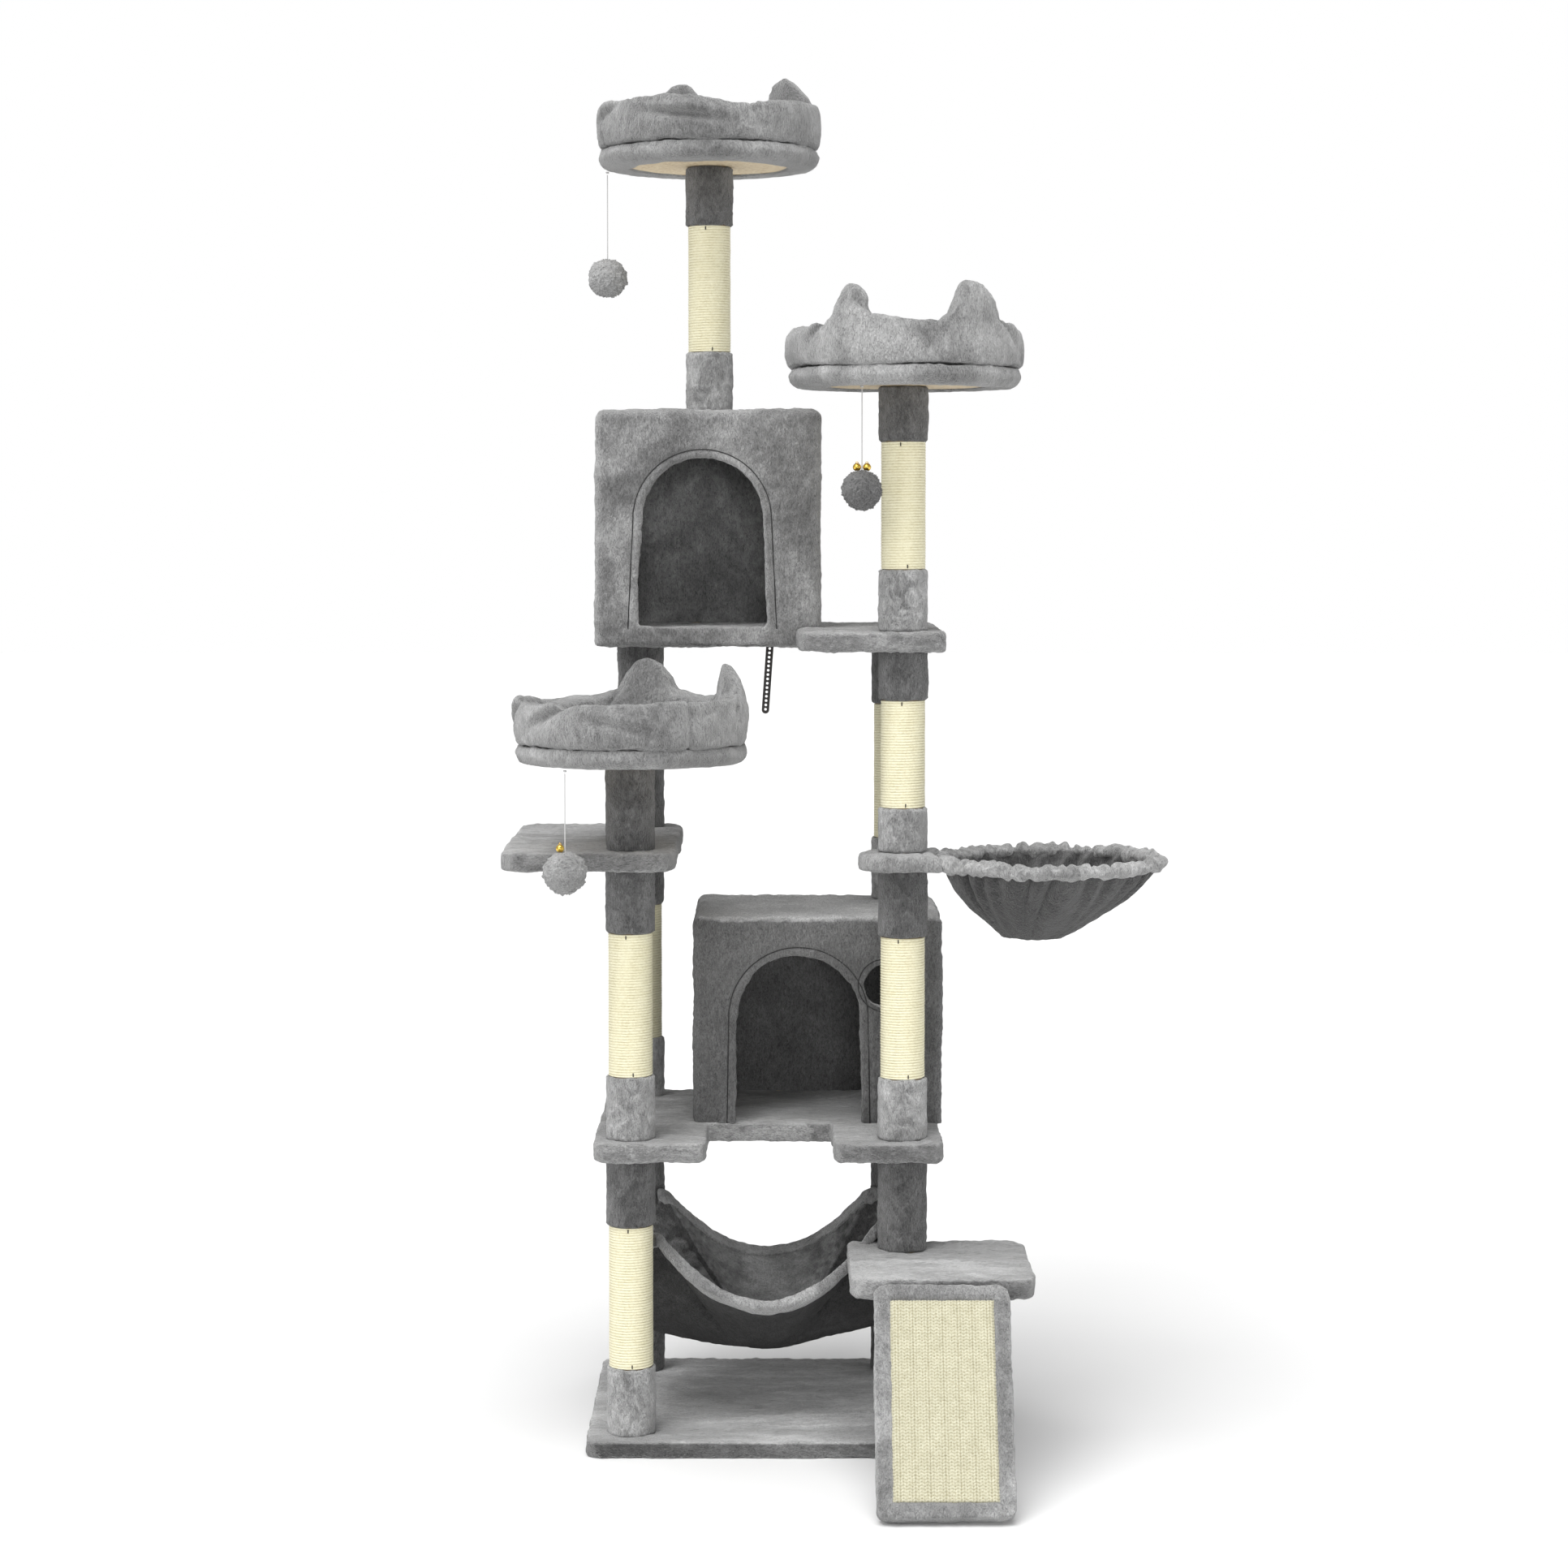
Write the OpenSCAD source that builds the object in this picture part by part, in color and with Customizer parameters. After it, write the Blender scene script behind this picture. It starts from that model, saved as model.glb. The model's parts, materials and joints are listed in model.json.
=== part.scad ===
/* [Base] */
// Width of the covered base, side to side
base_w = 530; // [520:1:560]
// Depth of the covered base, front to back
base_d = 500; // [490:1:540]
// Thickness of the covered base
base_t = 22; // [22:1:26]

/* [Posts] */
// Distance between the left and right post rows
post_span_x = 404; // [396:1:410]
// Distance between the front and back post rows
post_span_y = 376; // [370:1:384]
// Outside radius of the cardboard post tube
tube_r = 30; // [28:0.5:30]
// Wall thickness of the post tube
tube_wall = 4; // [3:0.5:6]
// Outside radius of the plush sleeves
sleeve_r = 36; // [35:0.5:36]
// Outside radius of the sisal rope wraps
rope_r = 33; // [32:0.1:33.5]
// Side-to-side place of the top post
top_post_x = -90; // [-110:1:-70]
// Front-to-back place of the top post
top_post_y = 95; // [80:1:110]

/* [Boards] */
// Thickness of the bare particle board
board_t = 15; // [12:1:16]
// Thickness of a covered shelf
shelf_t = 26; // [26:0.5:28]
// Thickness of the plush round the edge of a shelf
edge_skin = 6; // [4:0.5:7]

/* [Levels] */
// Underside of the front step
step_z = 272; // [266:1:276]
// Underside of the lower platform
platform_z = 438; // [430:1:446]
// Underside of the left shelf
shelf_z = 868; // [862:1:874]
// Underside of the basket bracket
bracket_z = 866; // [860:1:872]
// Underside of the upper platform
upper_z = 1192; // [1188:1:1200]
// Underside of the left perch
left_perch_z = 1028; // [1020:1:1040]
// Underside of the right perch
right_perch_z = 1580; // [1570:1:1600]
// Underside of the top perch
top_perch_z = 1930; // [1910:1:1940]

/* [Houses] */
// Height of the lower house
lower_house_h = 316; // [310:1:322]
// Height of the upper house above its floor
upper_house_h = 332; // [328:1:340]
// Thickness of a house panel
panel_t = 9; // [8:0.5:10]
// Thickness of the plush inside a house
lining = 4; // [3:0.5:5]

/* [Perches] */
// Radius of a covered perch
perch_r = 168; // [160:1:170]
// Height of the stuffed wall round a perch
bolster_h = 70; // [60:1:76]
// Height of the ear tips above the stuffed wall
ear_h = 48; // [40:1:54]

/* [Basket] */
// Radius of the wire hoop
hoop_r = 160; // [150:1:165]
// Radius of the hoop wire
wire_r = 3; // [2.5:0.25:3.5]
// Radius of the rolled hem on the hoop
roll_r = 13; // [12:0.5:14]
// Depth of the hanging sack below the hoop
sack_depth = 112; // [100:1:120]

/* [Ramp] */
// Width of the ramp
ramp_w = 192; // [180:1:200]
// Angle of the ramp to the floor, in degrees
ramp_tilt = 59; // [56:0.5:62]
// Thickness of the covered ramp
ramp_t = 25; // [23:0.5:27]
// Width of the plush border round the scratching mat
ramp_border = 22; // [18:1:30]

/* [Toys and strap] */
// Radius of the top toy ball
top_ball_r = 31; // [28:0.5:32]
// Radius of the right toy ball
right_ball_r = 30; // [28:0.5:32]
// Radius of the left toy ball
left_ball_r = 32; // [28:0.5:32]
// Width of the wall strap
strap_w = 12; // [10:0.5:14]
// Distance between the holes of the wall strap
strap_pitch = 7; // [6.5:0.25:8]

/* [Hidden] */
$fn = 64;

// Post places: front left, back left, front right, back right, top
FL = 0;
BL = 1;
FR = 2;
BR = 3;
TOP = 4;
px = post_span_x / 2;
py = post_span_y / 2;
POST_AT = [[-px, -py], [-px, py], [px, -py], [px, py], [top_post_x, top_post_y]];

// Upper faces of the covered boards and of the house roofs
step_top = step_z + shelf_t;
platform_top = platform_z + shelf_t;
shelf_top = shelf_z + shelf_t;
bracket_top = bracket_z + shelf_t;
upper_top = upper_z + shelf_t;
lower_roof = platform_top + lower_house_h;
upper_roof = upper_top + upper_house_h;

// Every post: place, bottom, top, length of the bottom sleeve, length of the top sleeve.
// A post with no bottom sleeve length is plush all the way up.
POSTS = [
    [FL, base_t, platform_z, 102, 103],
    [FL, platform_top, shelf_z, 96, 96],
    [FL, shelf_top, left_perch_z, 0, 0],
    [BL, base_t, platform_z, 0, 0],
    [BL, platform_top, shelf_z, 96, 96],
    [BL, shelf_top, upper_z, 0, 0],
    [FR, base_t, step_z, 0, 0],
    [FR, step_top, platform_z, 0, 0],
    [FR, platform_top, bracket_z, 93, 100],
    [FR, bracket_top, upper_z, 67, 75],
    [FR, upper_top, right_perch_z, 93, 82],
    [BR, base_t, platform_z, 0, 0],
    [BR, lower_roof, upper_z, 100, 100],
    [TOP, upper_roof, top_perch_z, 94, 92]
];

// Fasteners
plug_t = 15;
stud_r = 4;
thread_bite = 0.2;
clear_r = 4.5;
head_r = 9;
head_t = 3.5;
pocket_r = 10;
pocket_t = 4.5;
socket_af_r = 2.9;
socket_depth = 2.2;

// Places of the board inside each cover
shelf_skin = (shelf_t - board_t) / 2;
base_skin = 4;
roof_face = edge_skin + panel_t;
perch_pad = 11;
perch_hem = 3;

// Studs between two stacked posts: place, underside and top of the board between them
STUDS = [
    [FL, platform_z, platform_top],
    [FL, shelf_z, shelf_top],
    [BL, platform_z, platform_top],
    [BL, shelf_z, shelf_top],
    [FR, step_z, step_top],
    [FR, platform_z, platform_top],
    [FR, bracket_z, bracket_top],
    [FR, upper_z, upper_top]
];

// Bolts from a board into a post's end: place, face under the head, tip
BOLTS = [
    [FL, base_skin, base_t + plug_t],
    [BL, base_skin, base_t + plug_t],
    [FR, base_skin, base_t + plug_t],
    [BR, base_skin, base_t + plug_t],
    [BR, platform_z + shelf_skin + board_t, platform_z - plug_t],
    [BR, lower_roof - roof_face, lower_roof + plug_t],
    [BR, upper_z + shelf_skin + board_t, upper_z - plug_t],
    [BL, upper_z + shelf_skin + board_t, upper_z - plug_t],
    [TOP, upper_roof - roof_face, upper_roof + plug_t],
    [FL, left_perch_z + board_t, left_perch_z - plug_t],
    [FR, right_perch_z + board_t, right_perch_z - plug_t],
    [TOP, top_perch_z + board_t, top_perch_z - plug_t]
];

// Houses: x0, x1, y0, y1, z0, z1, door centre, door half width at the floor and at the arch, arch centre
LOWER_HOUSE = [-111, 265, -70, 240, platform_top, lower_roof, 48, 97, 94, platform_top + 164];
UPPER_HOUSE = [-260, 80, -55, 245, upper_top, upper_roof, -98, 101, 93, upper_top + 167];
window_x = 179;
window_z = platform_top + 212;
window_r = 33;
house_corner = 12;

// Perches: centre, underside, directions of the two ears in degrees from +X
LEFT_PERCH = [-px + 2, -py, left_perch_z, 3, 83];
RIGHT_PERCH = [px + 2, -py, right_perch_z, 237, 303];
TOP_PERCH = [top_post_x, top_post_y, top_perch_z, 30, 107];
bolster_out = perch_r + 3;
bolster_in = 130;
ear_half = 20;
bolster_steps = 48;

// Basket
hoop_x = 420;
hoop_y = -190;
hoop_z = bracket_z + shelf_t / 2;
tail_y = 30;
tail_end = 216;
bracket_r = 66;
bag_t = 6;
bag_bottom_r = 55;
wire_gap = 0.2;
tail_overlap = 1.4;

// Ramp, in its own plane: y runs up the slope and z out of it
ramp_len = (step_top - ramp_t * cos(ramp_tilt)) / sin(ramp_tilt);
step_front = -398;
ramp_x = 250;
ramp_y = step_front - 0.4 - ramp_len * cos(ramp_tilt);
ramp_board_t = 12;
mat_t = 4;

// Toys hang on thin cords; each route runs straight down from its knot
cord_d = 1.6;
knot_r = 3;
TOP_CORD = [
    [-249, 110, 1920], [-249, 110, 1908], [-249, 110, 1896], [-249, 110, 1884], [-249, 110, 1872],
    [-249, 110, 1860], [-249, 110, 1848], [-249, 110, 1836], [-249, 110, 1824], [-249, 110, 1812],
    [-249, 110, 1800], [-249, 110, 1788], [-249, 110, 1776], [-249, 110, 1768], [-249, 110, 1760]
];
RIGHT_CORD = [
    [139, -272, 1573], [139, -272, 1562], [139, -272, 1552], [139, -272, 1541], [139, -272, 1530],
    [139, -272, 1520], [139, -272, 1510], [139, -272, 1500], [139, -272, 1490], [139, -272, 1480],
    [139, -272, 1470], [139, -272, 1460], [139, -272, 1448], [139, -272, 1437], [139, -272, 1426]
];
LEFT_CORD = [
    [-290, -320, 1018], [-290, -320, 1008], [-290, -320, 998], [-290, -320, 988], [-290, -320, 978],
    [-290, -320, 968], [-290, -320, 958], [-290, -320, 948], [-290, -320, 938], [-290, -320, 928],
    [-290, -320, 918], [-290, -320, 908], [-290, -320, 897], [-290, -320, 886], [-290, -320, 874]
];
TOP_KNOT_Z = 1923.5;
RIGHT_KNOT_Z = 1576.5;
LEFT_KNOT_Z = 1021.5;
bell_r = 6;
bell_wall = 0.8;

// Wall strap
strap_x = 5;
strap_y = 246;
strap_t = 1.6;
strap_holes = 19;
strap_hole_r = 2.05;
screw_r = 2;
screw_z = upper_z + 13;
strap_lean = 4;
strap_end = 7;

// Hammock: corners at the post loops, sags and pulls of the sheet
HAMMOCK_CORNERS = [[-172, -160, 308], [180, -154, 330], [-172, 160, 314], [172, 160, 314]];
front_sag = 106;
back_sag = 86;
side_sag = 152;
belly_lift = 74;
hem_pull = 40;
side_pull = 14;
hammock_t = 8;
hammock_cells = 14;
LOOP_Z = [298, 321, 304, 304];
loop_h = 18;
loop_gap = 0.3;
loop_t = 3;

plush = [0.6, 0.6, 0.6];
dark_plush = [0.4, 0.4, 0.41];
sisal = [0.87, 0.85, 0.7];
wood = [0.8, 0.68, 0.48];
card = [0.66, 0.52, 0.36];
steel = [0.7, 0.7, 0.72];
gold = [0.85, 0.65, 0.2];

// Shared shapes

// A rectangle from (x0, y0) to (x1, y1) with round corners
module rounded_rect(x0, x1, y0, y1, r) {
    translate([x0 + r, y0])
        square([x1 - x0 - 2 * r, y1 - y0]);
    translate([x0, y0 + r])
        square([x1 - x0, y1 - y0 - 2 * r]);
    for (x = [x0 + r, x1 - r], y = [y0 + r, y1 - r])
        translate([x, y])
            circle(r);
}

// A flat board drawn by its children, from z0 upwards
module slab(z0, t) {
    translate([0, 0, z0])
        linear_extrude(t)
            children();
}

// A shape drawn in the XZ plane, running from y0 back to y1
module upright(y0, y1) {
    translate([0, y1, 0])
        rotate([90, 0, 0])
            linear_extrude(y1 - y0)
                children();
}

// A tube between two heights at a post place
module tube(at, z0, z1, r_in, r_out) {
    translate([at[0], at[1], z0])
        difference() {
            cylinder(r = r_out, h = z1 - z0);
            translate([0, 0, -1])
                cylinder(r = r_in, h = z1 - z0 + 2);
        }
}

// Clearance for every stud and bolt that crosses the heights z0 to z1
module fixing_holes(z0, z1) {
    for (s = STUDS)
        if (s[2] > z0 && s[1] < z1)
            translate([POST_AT[s[0]][0], POST_AT[s[0]][1], s[1] - 1])
                cylinder(r = clear_r, h = s[2] - s[1] + 2);
    for (b = BOLTS) {
        low = min(b[1], b[2]);
        high = max(b[1], b[2]);
        up = b[2] > b[1];
        if (high > z0 && low < z1)
            translate([POST_AT[b[0]][0], POST_AT[b[0]][1], 0]) {
                translate([0, 0, low])
                    cylinder(r = clear_r, h = high - low);
                translate([0, 0, up ? b[1] - pocket_t : b[1]])
                    cylinder(r = pocket_r, h = pocket_t);
            }
    }
}

// The bare board of a shelf, whose outline is the children
module shelf_board(z) {
    color(wood)
        difference() {
            slab(z + shelf_skin, board_t)
                children();
            fixing_holes(z, z + shelf_t);
        }
}

// Outlines of the boards; each is drawn in by the inset on every side

module base_outline(inset) {
    rounded_rect(-base_w / 2 + inset, base_w / 2 - inset, -base_d / 2 + inset,
        base_d / 2 - inset, 22 - inset);
}

module step_outline(inset) {
    rounded_rect(123 + inset, 384 - inset, step_front + inset, -138 - inset, 24 - inset);
}

// A full board with a notch at the front that a cat climbs through
module platform_outline(inset) {
    rounded_rect(-254 + inset, -91 - inset, -245 + inset, 240 - inset, 24 - inset);
    rounded_rect(102 + inset, 258 - inset, -245 + inset, 240 - inset, 24 - inset);
    rounded_rect(-254 + inset, 258 - inset, -70 + inset, 240 - inset, 24 - inset);
}

module left_shelf_outline(inset) {
    rounded_rect(-392 + inset, -138 - inset, -240 + inset, 240 - inset, 38 - inset);
}

// An L: the floor of the upper house, with a small shelf towards the front right
module upper_outline(inset) {
    rounded_rect(-254 + inset, 261 - inset, -49 + inset, 239 - inset, 20 - inset);
    rounded_rect(49 + inset, 261 - inset, -246 + inset, 239 - inset, 20 - inset);
}

module bracket_outline(inset) {
    difference() {
        union() {
            translate(POST_AT[FR])
                circle(bracket_r - inset);
            translate([px, -py - bracket_r + inset])
                square([hoop_x - px - hoop_r, 2 * (bracket_r - inset)]);
        }
        translate([hoop_x, hoop_y])
            circle(hoop_r + roll_r + 0.3 + inset);
    }
}

// Base

module base_board() {
    color(wood)
        difference() {
            slab(base_skin, base_t - base_skin - 3)
                base_outline(edge_skin);
            fixing_holes(0, base_t);
        }
}

module base_cover() {
    color(plush)
        difference() {
            slab(0, base_t)
                base_outline(0);
            slab(base_skin, base_t - base_skin - 3)
                base_outline(edge_skin);
            fixing_holes(0, base_t);
        }
}

// Shelves

module step_board() {
    shelf_board(step_z)
        step_outline(edge_skin);
}

module step_cover() {
    color(plush)
        difference() {
            slab(step_z, shelf_t)
                step_outline(0);
            slab(step_z + shelf_skin, board_t)
                step_outline(edge_skin);
            fixing_holes(step_z, step_top);
        }
}

module lower_platform_board() {
    shelf_board(platform_z)
        platform_outline(edge_skin);
}

module lower_platform_cover() {
    color(plush)
        difference() {
            slab(platform_z, shelf_t)
                platform_outline(0);
            slab(platform_z + shelf_skin, board_t)
                platform_outline(edge_skin);
            fixing_holes(platform_z, platform_top);
        }
}

module left_shelf_board() {
    shelf_board(shelf_z)
        left_shelf_outline(edge_skin);
}

module left_shelf_cover() {
    color(plush)
        difference() {
            slab(shelf_z, shelf_t)
                left_shelf_outline(0);
            slab(shelf_z + shelf_skin, board_t)
                left_shelf_outline(edge_skin);
            fixing_holes(shelf_z, shelf_top);
        }
}

module upper_platform_board() {
    color(wood)
        difference() {
            slab(upper_z + shelf_skin, board_t)
                upper_outline(edge_skin);
            fixing_holes(upper_z, upper_top);
            strap_screw_hole(screw_r - thread_bite);
        }
}

module upper_platform_cover() {
    color(plush)
        difference() {
            slab(upper_z, shelf_t)
                upper_outline(0);
            slab(upper_z + shelf_skin, board_t)
                upper_outline(edge_skin);
            fixing_holes(upper_z, upper_top);
            strap_screw_hole(screw_r + 0.5);
        }
}

// Ramp

module ramp_plane() {
    translate([ramp_x, ramp_y, 0])
        rotate([ramp_tilt, 0, 0])
            children();
}

module ramp_outline(inset) {
    rounded_rect(-ramp_w / 2 + inset, ramp_w / 2 - inset, inset, ramp_len - inset, 14 - inset / 2);
}

module ramp_board() {
    color(wood)
        ramp_plane()
            slab((ramp_t - ramp_board_t) / 2, ramp_board_t)
                ramp_outline(edge_skin);
}

module ramp_cover() {
    color(plush)
        ramp_plane()
            difference() {
                slab(0, ramp_t)
                    ramp_outline(0);
                slab((ramp_t - ramp_board_t) / 2, ramp_board_t)
                    ramp_outline(edge_skin);
                slab(ramp_t - mat_t, mat_t + 1)
                    ramp_outline(ramp_border);
            }
}

module ramp_mat() {
    color(sisal)
        ramp_plane()
            slab(ramp_t - mat_t, mat_t)
                ramp_outline(ramp_border);
}

// Houses

// The doorway: straight sides that close in a little, and a round arch, grown by the margin
module door_outline(h, grow) {
    polygon([
        [h[6] - h[7] - grow, h[4] - 1], [h[6] + h[7] + grow, h[4] - 1],
        [h[6] + h[8] + grow, h[9]], [h[6] - h[8] - grow, h[9]]
    ]);
    translate([h[6], h[9]])
        circle(h[8] + grow);
}

module house_front(h, has_window) {
    color(wood)
        upright(h[2] + edge_skin, h[2] + roof_face)
            difference() {
                translate([h[0] + edge_skin, h[4]])
                    square([h[1] - h[0] - 2 * edge_skin, h[5] - h[4] - roof_face]);
                door_outline(h, edge_skin);
                if (has_window)
                    translate([window_x, window_z])
                        circle(window_r + edge_skin);
            }
}

// Back and two sides; the sides stop just short of the back
module house_walls(h) {
    wall_h = h[5] - h[4] - roof_face;
    side_d = h[3] - h[2] - 2 * roof_face - 0.4;
    color(wood) {
        translate([h[0] + edge_skin, h[3] - roof_face, h[4]])
            cube([h[1] - h[0] - 2 * edge_skin, panel_t, wall_h]);
        for (x = [h[0] + edge_skin, h[1] - roof_face])
            translate([x, h[2] + roof_face + 0.2, h[4]])
                cube([panel_t, side_d, wall_h]);
    }
}

module house_roof(h) {
    color(wood)
        difference() {
            translate([h[0] + edge_skin, h[2] + edge_skin, h[5] - roof_face])
                cube([h[1] - h[0] - 2 * edge_skin, h[3] - h[2] - 2 * edge_skin, panel_t]);
            fixing_holes(h[5] - 30, h[5]);
        }
}

// Plush over all the outside faces and the inside faces, turned in round the openings
module house_cover(h, has_window) {
    in = roof_face + lining;
    color(plush)
        difference() {
            slab(h[4], h[5] - h[4])
                rounded_rect(h[0], h[1], h[2], h[3], house_corner);
            translate([h[0] + edge_skin, h[2] + edge_skin, h[4] - 1])
                difference() {
                    cube([h[1] - h[0] - 2 * edge_skin, h[3] - h[2] - 2 * edge_skin,
                        h[5] - h[4] - edge_skin + 1]);
                    translate([panel_t, panel_t, 0])
                        cube([h[1] - h[0] - 2 * roof_face, h[3] - h[2] - 2 * roof_face,
                            h[5] - h[4] - roof_face + 1]);
                    upright_door_rim(h, has_window);
                }
            translate([h[0] + in, h[2] + in, h[4] - 1])
                cube([h[1] - h[0] - 2 * in, h[3] - h[2] - 2 * in, h[5] - h[4] - in + 1]);
            upright(h[2] - 1, h[2] + in + 1) {
                door_outline(h, 0);
                if (has_window)
                    translate([window_x, window_z])
                        circle(window_r);
            }
            fixing_holes(h[5] - 30, h[5] + 10);
        }
}

// The plush that lines the edge of the doorway and window, in the frame of the panel void
module upright_door_rim(h, has_window) {
    translate([-h[0] - edge_skin, -h[2] - edge_skin, 1 - h[4]])
        upright(h[2], h[2] + roof_face + 1) {
            door_outline(h, edge_skin);
            if (has_window)
                translate([window_x, window_z])
                    circle(window_r + edge_skin);
        }
}

module lower_house_front() {
    house_front(LOWER_HOUSE, true);
}

module lower_house_walls() {
    house_walls(LOWER_HOUSE);
}

module lower_house_roof() {
    house_roof(LOWER_HOUSE);
}

module lower_house_cover() {
    house_cover(LOWER_HOUSE, true);
}

module upper_house_front() {
    house_front(UPPER_HOUSE, false);
}

module upper_house_walls() {
    house_walls(UPPER_HOUSE);
}

module upper_house_roof() {
    house_roof(UPPER_HOUSE);
}

// The upper house's plush also hangs over three edges of its floor
module upper_house_cover() {
    house_cover(UPPER_HOUSE, false);
    skirt_gap = 0.3;
    color(plush)
        difference() {
            slab(upper_z, shelf_t)
                rounded_rect(UPPER_HOUSE[0], UPPER_HOUSE[1], UPPER_HOUSE[2], UPPER_HOUSE[3],
                    house_corner);
            slab(upper_z - 1, shelf_t + 2)
                upper_outline(-skirt_gap);
            strap_screw_hole(screw_r + 0.5);
        }
}

// Posts

module column_tubes(place) {
    color(card)
        for (p = POSTS)
            if (p[0] == place)
                tube(POST_AT[place], p[1], p[2], tube_r - tube_wall, tube_r);
}

module column_sleeves(place) {
    color(plush)
        for (p = POSTS)
            if (p[0] == place) {
                if (p[3] == 0)
                    tube(POST_AT[place], p[1], p[2], tube_r, sleeve_r);
                else {
                    tube(POST_AT[place], p[1], p[1] + p[3], tube_r, sleeve_r);
                    tube(POST_AT[place], p[2] - p[4], p[2], tube_r, sleeve_r);
                }
            }
}

module column_sisal(place) {
    color(sisal)
        for (p = POSTS)
            if (p[0] == place && p[3] > 0)
                tube(POST_AT[place], p[1] + p[3] + 0.1, p[2] - p[4] - 0.1, tube_r, rope_r);
}

module front_left_tubes() {
    column_tubes(FL);
}

module front_right_tubes() {
    column_tubes(FR);
}

module back_tubes() {
    column_tubes(BL);
    column_tubes(BR);
}

module top_tube() {
    column_tubes(TOP);
}

module front_left_sleeves() {
    column_sleeves(FL);
}

module back_left_sleeves() {
    column_sleeves(BL);
}

module front_right_sleeves() {
    column_sleeves(FR);
}

module back_right_sleeves() {
    column_sleeves(BR);
}

module top_sleeves() {
    column_sleeves(TOP);
}

module front_left_sisal() {
    column_sisal(FL);
}

module front_right_sisal() {
    column_sisal(FR);
}

module back_sisal() {
    column_sisal(BL);
    column_sisal(BR);
}

module top_sisal() {
    column_sisal(TOP);
}

// Wooden plugs with a tapped hole, one in each end of every tube
module post_end_plugs() {
    color(wood)
        for (p = POSTS, z = [p[1], p[2] - plug_t])
            tube(POST_AT[p[0]], z, z + plug_t, stud_r - thread_bite, tube_r - tube_wall);
}

module joining_studs() {
    color(steel)
        for (s = STUDS)
            translate([POST_AT[s[0]][0], POST_AT[s[0]][1], s[1] - plug_t])
                cylinder(r = stud_r, h = s[2] - s[1] + 2 * plug_t);
}

// Flat-headed bolts with a hexagon socket
module post_bolts() {
    color(steel)
        for (b = BOLTS)
            translate([POST_AT[b[0]][0], POST_AT[b[0]][1], b[1]])
                mirror([0, 0, b[2] > b[1] ? 0 : 1])
                    difference() {
                        union() {
                            cylinder(r = stud_r, h = abs(b[2] - b[1]));
                            translate([0, 0, -head_t])
                                cylinder(r = head_r, h = head_t);
                        }
                        translate([0, 0, -head_t - 1])
                            cylinder(r = socket_af_r, h = socket_depth + 1, $fn = 6);
                    }
}

// Perches

module perch_board(p) {
    difference() {
        translate([p[0], p[1], p[2]])
            cylinder(r = perch_r - edge_skin, h = board_t);
        fixing_holes(p[2] - 1, p[2] + shelf_t);
    }
}

module perch_boards() {
    color(wood)
        for (p = [LEFT_PERCH, RIGHT_PERCH, TOP_PERCH])
            perch_board(p);
}

// The cover wraps the edge and turns under as a hem; the middle of the board stays bare below
module perch_cover(p) {
    difference() {
        translate([p[0], p[1], p[2] - perch_hem])
            cylinder(r = perch_r, h = perch_hem + board_t + perch_pad);
        translate([p[0], p[1], p[2]])
            cylinder(r = perch_r - edge_skin, h = board_t);
        translate([p[0], p[1], p[2] - perch_hem - 1])
            cylinder(r = bolster_in, h = perch_hem + 2);
        fixing_holes(p[2], p[2] + shelf_t);
    }
}

module perch_covers() {
    color(plush)
        for (p = [LEFT_PERCH, RIGHT_PERCH, TOP_PERCH])
            perch_cover(p);
}

// How much of an ear stands at an angle, from 0 to 1
function ear_at(angle, ears) = max([for (e = ears)
    let (away = abs(((angle - e + 540) % 360) - 180)) pow(max(0, 1 - away / ear_half), 0.8)]);

// One slice of the stuffed wall, as (radius, height) points round it
function bolster_slice(ear) = let (h = bolster_h + ear_h * ear, w = bolster_h) [
    [bolster_out - 6, 0], [bolster_out, 14], [bolster_out, 0.5 * w], [bolster_out - 3, h - 14],
    [bolster_out - 10, h - 2], [bolster_out - 18, h], [bolster_out - 25, h - 8],
    [bolster_in + 3 + 4 * ear, 0.72 * w], [bolster_in, 0.35 * w], [bolster_in + 5, 0]
];

// A closed ring whose slices change with the angle, standing on a perch
module bolster(p) {
    slices = [for (i = [0:bolster_steps - 1])
        let (a = i * 360 / bolster_steps, s = bolster_slice(ear_at(a, [p[3], p[4]])))
            [for (q = s) [q[0] * cos(a), q[0] * sin(a), q[1]]]];
    n = len(slices[0]);
    points = [for (s = slices) each s];
    faces = [for (i = [0:bolster_steps - 1], j = [0:n - 1])
        let (k = (i + 1) % bolster_steps, m = (j + 1) % n)
            each [[i * n + j, i * n + m, k * n + m], [i * n + j, k * n + m, k * n + j]]];
    color(plush)
        translate([p[0], p[1], p[2] + board_t + perch_pad])
            polyhedron(points, faces);
}

module left_perch_bolster() {
    bolster(LEFT_PERCH);
}

module right_perch_bolster() {
    bolster(RIGHT_PERCH);
}

module top_perch_bolster() {
    bolster(TOP_PERCH);
}

// Basket

// Points round the hoop's wire at a distance, as (radius, height)
function round_wire(r) = [for (a = [0:15:345]) [hoop_r + r * cos(a), r * sin(a)]];

// The two straight tails of the hoop, which enter the bracket
module hoop_tails(r) {
    for (y = [-tail_y, tail_y])
        translate([tail_end, hoop_y + y, hoop_z])
            rotate([0, 90, 0])
                cylinder(r = r, h = hoop_x - tail_end + tail_overlap
                    - sqrt(hoop_r * hoop_r - tail_y * tail_y));
}

module basket_bracket_board() {
    color(wood)
        difference() {
            slab(bracket_z + shelf_skin, board_t)
                bracket_outline(edge_skin);
            fixing_holes(bracket_z, bracket_top);
            hoop_tails(wire_r);
        }
}

module basket_bracket_cover() {
    color(plush)
        difference() {
            slab(bracket_z, shelf_t)
                bracket_outline(0);
            slab(bracket_z + shelf_skin, board_t)
                bracket_outline(edge_skin);
            fixing_holes(bracket_z, bracket_top);
            hoop_tails(wire_r);
        }
}

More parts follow.
